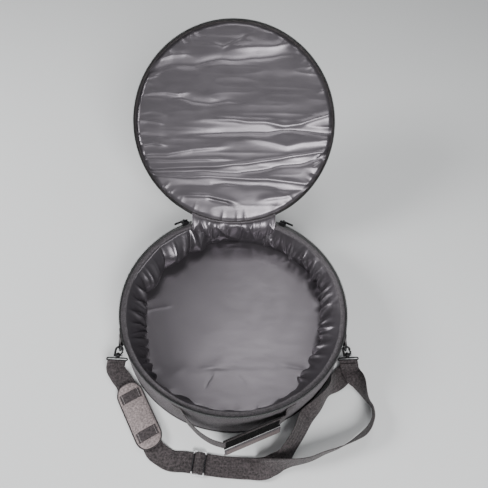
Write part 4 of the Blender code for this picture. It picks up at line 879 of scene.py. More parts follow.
class Finish:
    """A material being made; its node method adds any shader node and returns its output."""

    def __init__(self, name):
        self.material = bpy.data.materials.new(name)
        self.material.use_nodes = True
        self.tree = self.material.node_tree
        self.shader = self.tree.nodes["Principled BSDF"]

    def feed(self, socket, value):
        """Link a number to a socket, or set the socket's own value."""
        if isinstance(value, Number):
            self.tree.links.new(value.socket, socket)
        elif isinstance(value, (tuple, list)) and len(value) == 3 and socket.type == "RGBA":
            socket.default_value = (*value, 1.0)
        else:
            socket.default_value = value

    def node(self, kind, settings, values, output=0):
        """Add a shader node with its settings and inputs, and give back one of its outputs."""
        made = self.tree.nodes.new(kind)
        for key, value in settings.items():
            setattr(made, key, value)
        pairs = values.items() if isinstance(values, dict) else enumerate(values)
        for key, value in pairs:
            self.feed(made.inputs[key], value)
        return Number(self, made.outputs[output])

    def set(self, **values):
        """Feed the shader's sockets; an underscore in a name stands for a space."""
        for key, value in values.items():
            self.feed(self.shader.inputs[key.replace("_", " ")], value)

    def chart(self):
        """The piece's own map, in metres."""
        return self.node("ShaderNodeUVMap", {"uv_map": "metres"}, {})

    def place(self):
        """The point's place on the object."""
        return self.node("ShaderNodeTexCoord", {}, {}, output="Object")

    def parts(self, vector):
        """X and Y of a vector."""
        split = self.node("ShaderNodeSeparateXYZ", {}, {"Vector": vector})
        return split, Number(self, split.socket.node.outputs["Y"])

    def mottle(self, vector, scale, detail=3.0):
        """Cloudy noise from 0 to 1."""
        return self.node("ShaderNodeTexNoise", {}, {"Vector": vector, "Scale": scale, "Detail": detail})

    def stretch(self, vector, scale):
        """A vector with each axis scaled."""
        return self.node("ShaderNodeMapping", {}, {"Vector": vector, "Scale": scale})

    def mix(self, share, one, other):
        """A colour between two."""
        return self.node(
            "ShaderNodeMix", {"data_type": "RGBA"}, {0: share, 6: one, 7: other}, output=2
        )

    def between(self, value, low, high):
        """A number carried from 0..1 to low..high and held there."""
        return self.node(
            "ShaderNodeMapRange", {"clamp": True}, {"Value": value, "To Min": low, "To Max": high}
        )

    def bump(self, height, distance, strength=1.0):
        """Raise the surface by a height times a distance in metres."""
        self.set(Normal=self.node(
            "ShaderNodeBump", {}, {"Height": height, "Distance": distance, "Strength": strength}
        ))


def tint(colour, factor):
    """A colour made lighter or darker."""
    return tuple(channel * factor for channel in colour)


def woven_finish(name, colour, pitch, depth, roughness=0.85, sheen=0.06):
    """Woven cloth: threads cross as the product of two sines, with slubs and faint dust."""
    finish = Finish(name)
    x, y = finish.parts(finish.chart())
    threads = (x * (pi / pitch)).sine() * (y * (pi / pitch)).sine()
    slub = finish.mottle(finish.stretch(finish.chart(), (90.0, 900.0, 1.0)), 1.0)
    cloud = finish.mottle(finish.place(), 9.0, 5.0)
    speckle = finish.mottle(finish.place(), 300.0, 2.0)
    share = threads * 0.24 + slub * 0.4 + cloud * 0.5 + speckle * 1.5 - 0.8
    finish.set(
        Base_Color=finish.mix(share, tint(colour, 0.55), tint(colour, 1.65)),
        Roughness=finish.between(slub, roughness - 0.1, roughness + 0.08),
        Sheen_Weight=sheen,
    )
    finish.bump(threads + slub * 0.6, depth)
    return finish.material


def satin_finish(name, colour, roughness=0.34, depth=0.0008):
    """Glossy lining: fine threads, small crumples and a change of tone over the cloth."""
    finish = Finish(name)
    place = finish.place()
    cloud = finish.mottle(place, 5.0, 4.0)
    crumple = finish.mottle(finish.stretch(place, (26.0, 60.0, 60.0)), 1.0, 5.0)
    thread = finish.mottle(finish.stretch(finish.chart(), (1500.0, 260.0, 1.0)), 1.0, 2.0)
    share = cloud * 1.1 + thread * 0.3 - 0.2
    finish.set(
        Base_Color=finish.mix(share, tint(colour, 0.7), tint(colour, 1.3)),
        Roughness=finish.between(crumple, roughness - 0.05, roughness + 0.08),
        Metallic=0.75,
    )
    finish.bump(crumple + thread * 0.05, depth, 0.30)
    return finish.material


def webbing_finish(name, colour, rib=0.0016):
    """Webbing: a herringbone of slanting ribs, its crests painted lighter as painted highlight and the edges
    of its cords painted darker as painted shade.
    """
    finish = Finish(name)
    x, y = finish.parts(finish.chart())
    chevron = (y + x.bounce(rib * 2.2) * 0.9) * (tau / rib)
    ribs = chevron.sine()
    cord = (x * (pi / (rib * 2.2))).sine().size()
    cloud = finish.mottle(finish.place(), 14.0, 4.0)
    speckle = finish.mottle(finish.place(), 270.0, 2.0)
    fibre = finish.mottle(finish.stretch(finish.chart(), (2200.0, 500.0, 1.0)), 1.0, 2.0)
    # Painted highlight and shade: the ribs and cords that raise the bump also make their crests lighter and
    # cord edges darker
    share = ribs * 0.18 + cord * 0.14 + cloud * 0.5 + speckle * 2.6 + fibre * 0.3 - 1.35
    finish.set(
        Base_Color=finish.mix(share, tint(colour, 0.35), tint(colour, 2.1)),
        Roughness=finish.between(fibre, 0.50, 0.75),
        Sheen_Weight=0.12,
        Sheen_Roughness=0.35,
    )
    finish.bump(ribs * 0.5 + cord * 0.5 + fibre * 0.3, 0.0004)
    return finish.material


def melange_finish(name, colour):
    """Felted pad cloth: light and dark fibres mixed."""
    finish = Finish(name)
    place = finish.place()
    fibre = finish.mottle(finish.stretch(place, (420.0, 1100.0, 420.0)), 1.0, 3.0)
    flock = finish.mottle(place, 300.0, 2.0)
    cloud = finish.mottle(place, 22.0, 3.0)
    share = fibre * 0.8 + flock * 2.2 + cloud * 0.3 - 1.15
    finish.set(
        Base_Color=finish.mix(share, tint(colour, 0.55), tint(colour, 1.6)),
        Roughness=finish.between(flock, 0.8, 0.98),
        Sheen_Weight=0.2,
    )
    finish.bump(fibre + flock, 0.0006, 0.7)
    return finish.material


def metal_finish(name, colour, roughness, metallic, coat=0.0):
    """Plated or lacquered metal: brushed grain, faint scratches and worn spots."""
    finish = Finish(name)
    place = finish.place()
    grain = finish.mottle(finish.stretch(place, (300.0, 300.0, 2400.0)), 1.0, 2.0)
    worn = finish.mottle(place, 420.0, 4.0)
    finish.set(
        Base_Color=finish.mix(grain * 0.5 + worn * 0.4, tint(colour, 0.75), tint(colour, 1.5)),
        Roughness=finish.between(worn, roughness - 0.07, roughness + 0.12),
        Metallic=metallic,
        Coat_Weight=coat,
    )
    finish.bump(grain + worn, 0.00006, 0.5)
    return finish.material


def slide_finish(name):
    """The strap's slide: bright at its short ends, dark and dull along its long bars."""
    finish = Finish(name)
    across = (-ADJUSTER_AIM[1], ADJUSTER_AIM[0], 0.0)
    centre = sum(a * b for a, b in zip(across, ADJUSTER_PLACE))
    offset = finish.node(
        "ShaderNodeVectorMath", {"operation": "DOT_PRODUCT"}, {0: finish.place(), 1: across},
        output="Value",
    )
    worn = finish.mottle(finish.place(), 420.0, 4.0)
    end = finish.node(
        "ShaderNodeMapRange", {"clamp": True},
        {"Value": (offset - centre).size(), "From Min": STRAP_WIDTH * 0.40, "From Max": STRAP_WIDTH * 0.47},
    )
    finish.set(
        Base_Color=finish.mix(end, (0.03, 0.03, 0.032), (0.86, 0.86, 0.87)),
        Roughness=finish.between(worn, 0.3, 0.5),
        Metallic=1 - end * 0.5,
    )
    finish.bump(worn, 0.00006, 0.5)
    return finish.material


def plastic_finish(name, colour):
    """Nylon filament: nearly black, slightly uneven in gloss."""
    finish = Finish(name)
    worn = finish.mottle(finish.place(), 500.0, 3.0)
    finish.set(
        Base_Color=finish.mix(worn, tint(colour, 0.6), tint(colour, 1.8)),
        Roughness=finish.between(worn, 0.34, 0.54),
    )
    return finish.material


def tape_finish(name, colour):
    """Twill tape: slanting ribs."""
    finish = Finish(name)
    x, y = finish.parts(finish.chart())
    twill = ((x + y) * (tau / 0.0011)).sine()
    fibre = finish.mottle(finish.chart(), 700.0, 3.0)
    finish.set(
        Base_Color=finish.mix(twill * 0.25 + fibre * 0.7, tint(colour, 0.55), tint(colour, 1.9)),
        Roughness=finish.between(fibre, 0.62, 0.86),
        Sheen_Weight=0.2,
    )
    finish.bump(twill + fibre * 0.5, 0.0002)
    return finish.material


def pile_finish(name, colour):
    """Closing strip: a dense pile of loops."""
    finish = Finish(name)
    cells = finish.node(
        "ShaderNodeTexVoronoi", {}, {"Vector": finish.place(), "Scale": 1100.0}, output="Distance"
    )
    fibre = finish.mottle(finish.place(), 900.0, 3.0)
    finish.set(
        Base_Color=finish.mix(cells * 0.9 + fibre * 0.3, tint(colour, 1.8), tint(colour, 0.5)),
        Roughness=finish.between(fibre, 0.6, 0.95),
        Specular_IOR_Level=0.2,
    )
    finish.bump(1 - cells, 0.0007)
    return finish.material


def floor_finish(name, colour):
    """A plain matt floor with the faintest unevenness."""
    finish = Finish(name)
    cloud = finish.mottle(finish.place(), 1.2, 3.0)
    finish.set(
        Base_Color=finish.mix(cloud, tint(colour, 0.985), tint(colour, 1.015)),
        Roughness=finish.between(cloud, 0.86, 0.94),
    )
    return finish.material


FINISHES = {}


def paint(name):
    """The shared material of that name, made when it is first asked for."""
    colours = bpy.context.scene.drumbag_colours
    recipes = {
        "floor": (floor_finish, colours.floor),
        "outer_cloth": (woven_finish, colours.outer, 0.0011, 0.00035),
        "facing_cloth": (woven_finish, colours.facing, 0.0009, 0.00025),
        "piping_cloth": (woven_finish, tint(colours.outer, 0.35), 0.0009, 0.0002),
        "grip_cloth": (woven_finish, tint(colours.outer, 0.06), 0.0009, 0.0002, 0.9, 0.0),
        "thread": (woven_finish, tint(colours.facing, 1.5), 0.0004, 0.0001, 0.7),
        "pale_thread": (woven_finish, (0.52, 0.48, 0.48), 0.0004, 0.0001, 0.7),
        "lining": (satin_finish, colours.lining),
        "base_lining": (satin_finish, colours.lining, 0.33, 0.0003),
        # Painted shade: the wall's lining is the lid's lining cloth made darker (0.85), since inside the bag
        # it lies in shade and reflects dark
        "wall_lining": (satin_finish, tint(colours.lining, 0.85), 0.30, 0.0030),
        "webbing": (webbing_finish, colours.webbing),
        "binding": (webbing_finish, tint(colours.webbing, 0.7), 0.0010),
        "pad_cloth": (melange_finish, colours.pad),
        "pale_edge": (melange_finish, tint(colours.pad, 0.9)),
        "zip_tape": (tape_finish, (0.020, 0.022, 0.022)),
        "zip_coil": (plastic_finish, (0.018, 0.020, 0.020)),
        "closing_strip": (pile_finish, (0.004, 0.004, 0.004)),
        "pale_pile": (pile_finish, tint(colours.pad, 0.8)),
        "black_metal": (metal_finish, (0.014, 0.014, 0.015), 0.40, 0.5, 0.15),
        "bright_metal": (metal_finish, (0.60, 0.60, 0.61), 0.24, 1.0),
        "slide_metal": (slide_finish,),
    }
    if name not in FINISHES:
        maker, *values = recipes[name]
        FINISHES[name] = maker(name, *values)
    return FINISHES[name]


def rim_drop(x, y):
    """How far the wall's top edge lies below its full height: a smooth dip at the back."""
    inside = rise((NOTCH_HALF_WIDTH + NOTCH_RAMP / 2 - np.abs(x)) / NOTCH_RAMP)
    return SILL_DROP * inside * (y > 0)


def make_base():
    """Base panel and foam, the lining that lies on it and the piping round it.

    The lining's height is the table's folds, noise, a rise towards the front and ridged noise at
    the rim, let down to nothing at its edge.
    """
    x, y = disc_grid(PANEL_RADIUS, BASE_CELLS)
    low = joined(x, y, CLOTH / 2)
    panel = piece(
        "bag_base", "root", [grid(low)], "outer_cloth", "outer_cloth", ["base_panel", "base_foam"],
    )
    thicken(panel, CLOTH, 0.0)
    x, y = disc_grid(LINING_RADIUS - LINING_INSET, BASE_LINING_CELLS)
    share_x = x / LINING_RADIUS
    share_y = y / LINING_RADIUS
    away = np.hypot(share_x, share_y)
    relief = folds(share_x, share_y, BASE_FOLD_SHARES)
    relief += 0.0008 * noise(x * 9 + 20, y * 7 + 20, 11) + 0.0080 * rise(-share_y * 2 - 0.86) * -share_y
    rim = rise((away - 0.82) / 0.18)
    relief += rim * (0.0015 + 0.0012 * crease(x * 30 + 30, y * 30 + 30, 13))
    height = LINING_FLOOR + LINING_LIFT + np.maximum(relief * rise((1.0 - away) / 0.04 + 0.3), -0.0010)
    lining = piece(
        "bag_base_lining", "root", [grid(joined(x, y, height))],
        "base_lining", "lining", ["base_lining"], FOLDED_EDGE,
    )
    thicken(lining, bpy.context.scene.drumbag_sizes.lining_thickness, -1.0)
    piece(
        "bag_base_piping", "root", [piping(WALL_LOW - PIPING_DROP)],
        "piping_cloth", "outer_cloth", ["base_piping"],
    )


def piping(height, lid=False):
    """A covered cord in a full circle: a circle of radius PIPING_RADIUS swept round with a faint waver."""
    azimuth = circle(PIPING_STEPS)
    turn = circle(10)
    waver = 0.00025 * noise(azimuth * 40 / tau, azimuth * 0, 21, 40)
    radii = TAPE_RADIUS + waver[:, None] + PIPING_RADIUS * np.cos(turn)[None]
    heights = height - PIPING_RADIUS * np.sin(turn)[None] + np.zeros((PIPING_STEPS, 1))
    return revolve(radii, heights, azimuth, True, lid=lid)


def wall_relief(azimuth, share):
    """Sag of the outer wall: sin(πt) times a long waver and slight creases, so nought at both seams."""
    body = np.sin(pi * share)
    waver = 0.0016 * noise(azimuth * 14 / tau, share * 1.5, 31, 14)
    creases = 0.0007 * crease(azimuth * 60 / tau + share * 2.0, share * 3.0, 32, 60)
    return body * (waver + creases + 0.0012)


def make_wall():
    """Outer wall, the lining that bellies inside it and the band that binds the top edge."""
    sizes = bpy.context.scene.drumbag_sizes
    azimuth = circle(WALL_STEPS)[:, None]
    rows = np.linspace(0.0, 1.0, 26)[None]
    radius = sizes.wall_radius + wall_relief(azimuth, rows)
    drop = rim_drop(radius * np.cos(azimuth), radius * np.sin(azimuth))
    top = WALL_TOP - drop
    height = WALL_LOW - WALL_HEM + (top - WALL_LOW + WALL_HEM) * rows
    outer = np.concatenate([radius[:, ::-1], radius - 2 * CLOTH], axis=1)
    heights = np.concatenate([height[:, ::-1], height], axis=1)
    piece(
        "bag_wall", "root", [revolve(outer, heights, azimuth[:, 0], True)],
        "outer_cloth", "outer_cloth", ["wall_panel", "wall_foam"],
    )
    make_wall_lining(sizes)
    make_facing()


def wall_folds(azimuth, share):
    """Loose folds of the wall's lining: ridges depth / (1 + (d / width)²)^1.5 that lean as they rise.

    Each is highest about half way up and dies at both seams, with one flank steeper. A stretch of
    wall has its own count and depth; places, leans, widths and heights are drawn from its seed.
    """
    total = np.zeros(np.broadcast_shapes(azimuth.shape, share.shape))
    for first, last, count, depth, spread, seed in WALL_FOLD_STRETCHES:
        dice = np.random.default_rng(seed)
        pitch = (last - first) / count
        for number in range(count):
            middle = radians(first + pitch * (number + dice.uniform(0.1, 0.9)))
            lean = radians(dice.uniform(-9, 9))
            width = radians(dice.uniform(0.9, 2.4)) * spread
            height = depth * dice.uniform(0.45, 1.0)
            place = dice.uniform(0.35, 0.65)
            away = np.mod(azimuth - middle - lean * (share - 0.5) + pi, tau) - pi
            away = away + 0.3 * width * noise(share * 4 + number, share * 0, seed)
            away = np.where(away > 0, away * 0.8, away * 1.25) / width
            body = rise(share / place) * rise((1 - share) / (1 - place))
            total += height * body / (1 + away ** 2) ** 1.5
    return total


def make_wall_lining(sizes):
    """Wall lining: a belly sin(πt^0.8)^0.8 with loose upright folds and a drape at the back left.

    Two Gaussian bulges deepen the belly at the right and the left, and the front stays quiet. The
    drape adds lobes |sin| and fine pleats, which puff out above a tenth of the height.
    """
    azimuth = circle(WALL_LINING_STEPS)[:, None]
    share = np.linspace(0.0, 1.0, 52)[None]
    around = azimuth / tau
    drape = rise((azimuth - DRAPE_START) / radians(12)) * rise((DRAPE_END - azimuth) / radians(10))
    belly = np.sin(pi * share ** 0.8) ** 0.8
    depth = sizes.lining_belly * (1 + 0.5 * noise(around * 16, share * 1.2, 41, 16))
    depth = depth + bell(np.mod(azimuth + pi, tau) - pi, RIGHT_BULGE) + bell(azimuth, LEFT_BULGE)
    slant = share * 1.4
    small = crease(around * 84 + slant, share * 1.8, 42, 84)
    large = crease(around * 30 + slant * 0.5, share * 0.9, 43, 30)
    quiet = 1 - bell(azimuth, QUIET_FRONT)
    pleats = crease(around * 104 + share * 3, share * 1.1, 44, 104) * rise((share - 0.45) / 0.30)
    lobes = np.abs(np.sin((azimuth - DRAPE_START) * LOBE_TURN + share * 1.1)) ** 0.7
    puff = rise((share - 0.10) / 0.24) * np.sin(pi * share ** 1.3) ** 0.6
    inward = belly * (depth + quiet * (0.0026 * large + 0.0010 * small))
    inward += wall_folds(azimuth, share)
    inward += drape * puff * (DRAPE_DEPTH + DRAPE_LOBE_DEPTH * lobes + DRAPE_PLEAT_DEPTH * pleats)
    top = WALL_TOP - 0.0010 - rim_drop(LINING_RADIUS * np.cos(azimuth), LINING_RADIUS * np.sin(azimuth))
    height = LINING_FLOOR + (top - LINING_FLOOR) * share - 0.005 * puff * drape
    points = polar(LINING_RADIUS - np.maximum(inward, 0.0), azimuth, height)
    # Its finish is the lining cloth painted darker, as painted shade inside the bag
    lining = piece(
        "bag_wall_lining", "root", [grid(points, along=True)],
        "wall_lining", "lining", ["wall_lining"], FOLDED_EDGE,
    )
    thicken(lining, sizes.lining_thickness, 1.0)


def make_facing():
    """Band over the wall's top edge: a hooked outline that dips at the hinge, with two rows of stitches."""
    azimuth = circle(WALL_STEPS)[:, None]
    top = WALL_TOP + FACING_RISE
    inner = FACING_INNER
    outline = np.array([
        (FACING_OUTER - 0.0004, top - 0.0002), (FACING_OUTER, top - 0.0008),
        (FACING_OUTER, WALL_TOP + 0.0003),
        (inner + 0.0018, WALL_TOP + 0.0003), (inner + 0.0016, WALL_TOP - FACING_DROP),
        (inner + 0.0008, WALL_TOP - FACING_DROP - 0.0005), (inner, WALL_TOP - FACING_DROP),
        (inner - 0.0003, WALL_TOP - FACING_DROP / 2), (inner, top - 0.0014), (inner + 0.0005, top - 0.0004),
        (inner + 0.0014, top), (inner + 0.0055, top + 0.0004),
    ])
    waver = 0.0006 * noise(azimuth * 70 / tau, azimuth * 0 + 3, 51, 70)
    radii = outline[None, :, 0] + waver * np.array([0, 0, 0, 0, 1, 1, 1, 1, 1, 0.6, 0.3, 0])[None]
    place = polar(FACING_MIDDLE, azimuth, 0.0)
    drop = rim_drop(place[..., 0], place[..., 1])
    heights = outline[None, :, 1] - drop
    piece(
        "bag_rim_facing", "root", [revolve(radii, heights, azimuth[:, 0], True)],
        "facing_cloth", "outer_cloth", ["rim_facing"],
    )
    count = int(tau * 0.2355 / STITCH_GAP)
    turn = circle(count)
    sewn = []
    for radius in FACING_SEAMS:
        spot = polar(radius, turn, 0.0)
        spot[:, 2] = top + 0.0003 - rim_drop(spot[:, 0], spot[:, 1])
        ahead = joined(-np.sin(turn), np.cos(turn), 0)
        sewn.append(stitches(spot, ahead, np.array([[0.0, 0.0, 1.0]]) + ahead * 0))
    piece("bag_rim_stitches", "root", sewn, "thread", "outer_cloth")


def coil(low, high, start, end, lid=False):
    """A zip's filament: an oval helix whose middle line runs round the bag."""
    turns = int(TAPE_RADIUS * (end - start) / COIL_PITCH)
    step = np.arange(turns * 8 + 1)
    azimuth = start + (end - start) * step / (turns * 8)
    turn = step * tau / 8
    half = (high - low) / 2 - COIL_WIRE
    radii = TAPE_RADIUS + COIL_RADIAL * np.cos(turn)
    path = polar(radii, azimuth, (low + high) / 2 + half * np.sin(turn))
    sides = polar(1.0, azimuth + pi / 2, 0.0)
    if lid:
        path = opened(path)
        sides = opened(sides) - opened(sides * 0)
    return sweep(path, sides, round_section(COIL_WIRE, 4))


def tape(low, high, start, end, lid=False):
    """A flat band standing round the bag: an oblong outline swept through an arc."""
    azimuth = np.linspace(start, end, int((end - start) * 100))
    half = TAPE_HALF
    levels = [high - half / 2, (low + high) / 2, low + half / 2]
    outline = np.array([
        *((half, level) for level in levels), (0.0, low),
        *((-half, level) for level in levels[::-1]), (0.0, high),
    ])
    heights = outline[None, :, 1] + azimuth[:, None] * 0
    return revolve(TAPE_RADIUS + outline[None, :, 0], heights, azimuth, False, lid=lid)


def make_zip():
    """Both halves of the zip: twill tapes and the filament coils on their edges."""
    start = pi / 2 + ZIP_END
    end = 5 * pi / 2 - ZIP_END
    piece(
        "bag_zip_tape", "root", [tape(WALL_TOP - 0.0005, TAPE_TOP + TAPE_HEM, start, end)],
        "zip_tape", "zip_tape", ["body_zip_tape"],
    )
    piece(
        "bag_zip_coil", "root", [coil(COIL_LOW, COIL_TOP, start, end)],
        "zip_coil", "zip_coil", ["body_zip_coil"], FOLDED_EDGE,
    )
    piece(
        "lid_tape", "lid", [tape(LID_TAPE_LOW - TAPE_HEM, LID_TAPE_TOP, start, end, lid=True)],
        "zip_tape", "zip_tape", ["lid_zip_tape"],
    )
    start += LID_COIL_INSET
    end -= LID_COIL_INSET
    piece(
        "lid_coil", "lid", [coil(LID_COIL_LOW, LID_TAPE_LOW, start, end, lid=True)],
        "zip_coil", "zip_coil", ["lid_zip_coil"], FOLDED_EDGE,
    )


def make_lid():
    """The lid: outer panel, folded lining, piping, the binding inside its edge and the hinge flap.

    The panel's crown is (1 - r⁴) with noise. The lining's relief is the table's folds and noise, let
    down to nothing at its edge by a smoothstep, with puckers of ridged noise round the rim.
    """
    sizes = bpy.context.scene.drumbag_sizes
    x, y = disc_grid(PANEL_RADIUS + LID_PANEL_OUTSET, LID_CELLS)
    away = np.hypot(x, y) / PANEL_RADIUS
    crown = 0.0030 * (1 - away ** 4) + 0.0012 * noise(x * 12 + 9, y * 12 + 9, 61) * (1 - away ** 6)
    crown += 0.0005 * crease(x * 26 + 9, y * 9 + 9, 62) * rise((1 - away) * 6)
    top = joined(x, y, LID_PANEL_HEIGHT + crown)
    panel = piece(
        "lid_cover", "lid", [grid(opened(top))], "outer_cloth", "outer_cloth", ["lid_panel", "lid_foam"],
    )
    thicken(panel, CLOTH, -1.0)
    reach = TAPE_RADIUS - TAPE_HALF - LID_LINING_INSET
    x, y = disc_grid(reach, LID_LINING_CELLS)
    share_x = x / reach
    share_y = -y / reach
    away = np.hypot(share_x, share_y)
    bearing = np.arctan2(share_y, share_x)
    relief = folds(share_x, share_y, LID_FOLD_SHARES) * sizes.lid_fold_share
    relief += 0.0020 * noise(share_x * 1.2 + 9, share_y * 5 + 9, 63)
    relief += 0.0004 * crease(share_x * 2.2 + 9, share_y * 15 + 9, 64)
    puckers = crease(bearing * 80 / tau, away * 3, 65, 80) * 0.0012 * rise((away - 0.86) / 0.12)
    relief = (relief + LID_LINING_SLACK) * rise((1 - away) / 0.05) + puckers
    below = joined(x, y, LID_LINING_HEIGHT - relief)
    lining = piece(
        "lid_inner", "lid", [grid(opened(below), turned=True)],
        "lining", "lining", ["lid_lining"], FOLDED_EDGE,
    )
    thicken(lining, sizes.lining_thickness, -1.0)
    piece(
        "lid_edge_piping", "lid", [piping(LID_PIPING_HEIGHT, lid=True)],
        "piping_cloth", "outer_cloth", ["lid_piping"],
    )
    azimuth = circle(WALL_STEPS)
    low = LID_LINING_HEIGHT - 0.0042
    outline = np.array([
        (0.2382, low + 0.0020), (0.2379, low), (0.2366, low - 0.0006), (0.2352, low + 0.0004),
        (0.2346, low + 0.0022), (0.2350, low + 0.0046), (0.2382, low + 0.0046),
    ])[::-1]
    waver = 0.0005 * noise(azimuth * 90 / tau, azimuth * 0, 66, 90)[:, None]
    radii = outline[None, :, 0] + waver * (outline[None, :, 0] < 0.2375)
    heights = outline[None, :, 1] + waver * 0
    binding = revolve(radii[:, ::-1], heights[:, ::-1], azimuth, True, lid=True)
    piece("lid_inner_binding", "lid", [binding], "binding", "outer_cloth")
    piece(
        "lid_back_flap", "lid",
        [tape(LID_COIL_LOW - 0.0035, LID_TAPE_TOP, pi / 2 - FLAP_END, pi / 2 + FLAP_END, lid=True)],
        "outer_cloth", "outer_cloth", ["lid_hinge_flap"],
    )


def make_hinge():
    """The gathered lining that crosses the hinge inside, the outer cloth behind it and a hanging loop.

    The lining is the curve start (1 - t)² + middle 2t(1 - t) + end t², with gathers of ridged noise.
    The outer cloth is a straight band with a bow of sin(πt).
    """
    sizes = bpy.context.scene.drumbag_sizes
    x = np.linspace(-HINGE_LINING_HALF_WIDTH, HINGE_LINING_HALF_WIDTH, 240)[:, None]
    s = np.linspace(0.0, 1.0, 60)[None]
    back = np.sqrt(LINING_RADIUS ** 2 - x * x) - 0.004
    edge = np.sqrt((TAPE_RADIUS - 0.002) ** 2 - x * x)
    closed = joined(x, edge, HINGE_Z + HINGE_LID_RISE)
    lid_edge = opened(closed)
    lean = HINGE_SLACK_Y + 0.004 * noise(x * 30 + 9, x * 0, 71)
    start = joined(x, back, LINING_FLOOR + HINGE_FOOT_RISE)
    middle = joined(x * 0.97, np.minimum(lean, back - 0.002), HINGE_Z - HINGE_SLACK_DROP)
    t = s[..., None]
    points = start * (1 - t) ** 2 + middle * (2 * t * (1 - t)) + lid_edge * t ** 2
    across = x * 100
    gathers = crease(across * 0.42 + s * 1.1 + 30, s * 1.6 + across * 0.05, 72)
    gathers = gathers + 0.35 * crease(across * 1.5 - s * 1.8 + 30, s * 2.5, 73)
    depth = sizes.gather_depth * np.sin(pi * s ** 0.9) ** 0.7 * gathers
    points[..., 1] -= depth * 0.8
    points[..., 2] += depth * 0.35 * (1 - s)
    gather = piece("hinge_gather", None, [grid(points)], "lining", "lining", ["hinge_fold"], FOLDED_EDGE)
    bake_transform(gather)
    thicken(gather, sizes.lining_thickness, -1.0)
    x = np.linspace(-HINGE_CLOTH_HALF_WIDTH, HINGE_CLOTH_HALF_WIDTH, 120)[:, None]
    s = np.linspace(0.0, 1.0, 24)[None]
    wall = np.sqrt((TAPE_RADIUS + 0.0004) ** 2 - x * x)
    sill = joined(x, wall, WALL_TOP - SILL_DROP - 0.004)
    closed = joined(x, wall, HINGE_Z + 0.001)
    band = sill * (1 - s)[..., None] + opened(closed) * s[..., None]
    bow = 0.0022 * np.sin(pi * s)
    band[..., 1] -= bow * 0.6
    band[..., 2] -= bow
    cloth = piece("hinge_outer_cloth", None, [grid(band)], "outer_cloth", "outer_cloth")
    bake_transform(cloth)
    thicken(cloth, 0.0010, 0.0)
    turn = np.linspace(-0.45 * pi, 1.45 * pi, 22)
    path = joined(
        -0.006 + 0.0050 * np.cos(turn), 0.2150 - 0.0030 * np.sin(turn), 0.050 + 0.0085 * np.sin(turn)
    )
    loop = sweep(path, (0.15, 1.0, 0.2), flat_section(0.006, 0.0009, 4, 3))
    piece("hanging_loop", "root", [loop], "binding", "webbing")


def hang_frame(word):
    """The frame of one side's ring and hook: X across the strap, Y along the bar, Z down the hook."""
    swing = JOINTS[f"{word}_ring_swing"]
    bar = np.array(swing["axis"]) * (-1 if swing["axis"][1] > 0 else 1)
    down = np.array(JOINTS[f"{word}_hook_swivel"]["axis"])
    return local_frame(np.cross(bar, down), bar, swing["pos_m"])


def hook_shapes(hang):
    """A bent wire over the ring, a bored barrel with beads, its shoulder, two lugs and their arms."""
    turn = np.linspace(pi, tau + HOOK_NOSE, 22)
    stem = np.linspace(BARREL_LOW - 0.003, HOOK_CROWN + 0.002, 6)
    wire = np.concatenate([
        joined(-HOOK_BEND, 0, stem),
        joined(HOOK_BEND * np.cos(turn), 0, HOOK_CROWN + HOOK_BEND * np.sin(turn)),
    ])
    shapes = [rod(carried(wire, hang), HOOK_WIRE, hang[:3, 1], 14)]
    nose = np.array([HOOK_BEND * cos(HOOK_NOSE), 0.0, HOOK_CROWN + HOOK_BEND * sin(HOOK_NOSE)])
    shapes.append(box_shape(nose - NOSE_HALF, nose + np.array([NOSE_HALF, NOSE_HALF, 0.0004]), hang))
    length = BARREL_LOW - BARREL_TOP
    bore = POST_RADIUS + 0.0004
    beads = [
        (1.0, 0.0), (1.12, 0.12), (1.12, 0.22), (0.95, 0.32),
        (0.95, 0.66), (1.12, 0.76), (1.12, 0.88), (0.96, 1.0),
    ]
    profile = [(bore, 0.0)] + [(BARREL_RADIUS * a, length * b) for a, b in beads] + [(bore, length)]
    shapes.append(lathe(profile, carried(np.array([0.0, 0.0, BARREL_TOP]), hang), hang[:3, 2], hang[:3, 0]))
    shapes.append(box_shape(
        (-HOOK_BEND - 0.0020, -ARM_HALF, BARREL_TOP),
        (-POST_RADIUS - LUG_REACH, ARM_HALF, BARREL_LOW - AIR), hang,
    ))
    for edge in (-1, 1):
        inner = edge * (GATE_WIDTH / 2 + AIR)
        outer = edge * (GATE_WIDTH / 2 + AIR + LUG)
        start = carried(np.array([GATE_PIN_X, min(inner, outer), GATE_PIN_Z]), hang)
        disc = [(0.9, 0.0), (1.0, 0.15), (1.0, 0.85), (0.9, 1.0)] * np.array([LUG_RADIUS, LUG])
        shapes.append(lathe(disc, start, hang[:3, 1], hang[:3, 0], 18))
        shapes.append(box_shape(
            (POST_RADIUS + LUG_REACH, min(inner, outer), BARREL_TOP + AIR),
            (GATE_PIN_X, max(inner, outer), GATE_PIN_Z + LUG_RADIUS), hang,
        ))
    return shapes


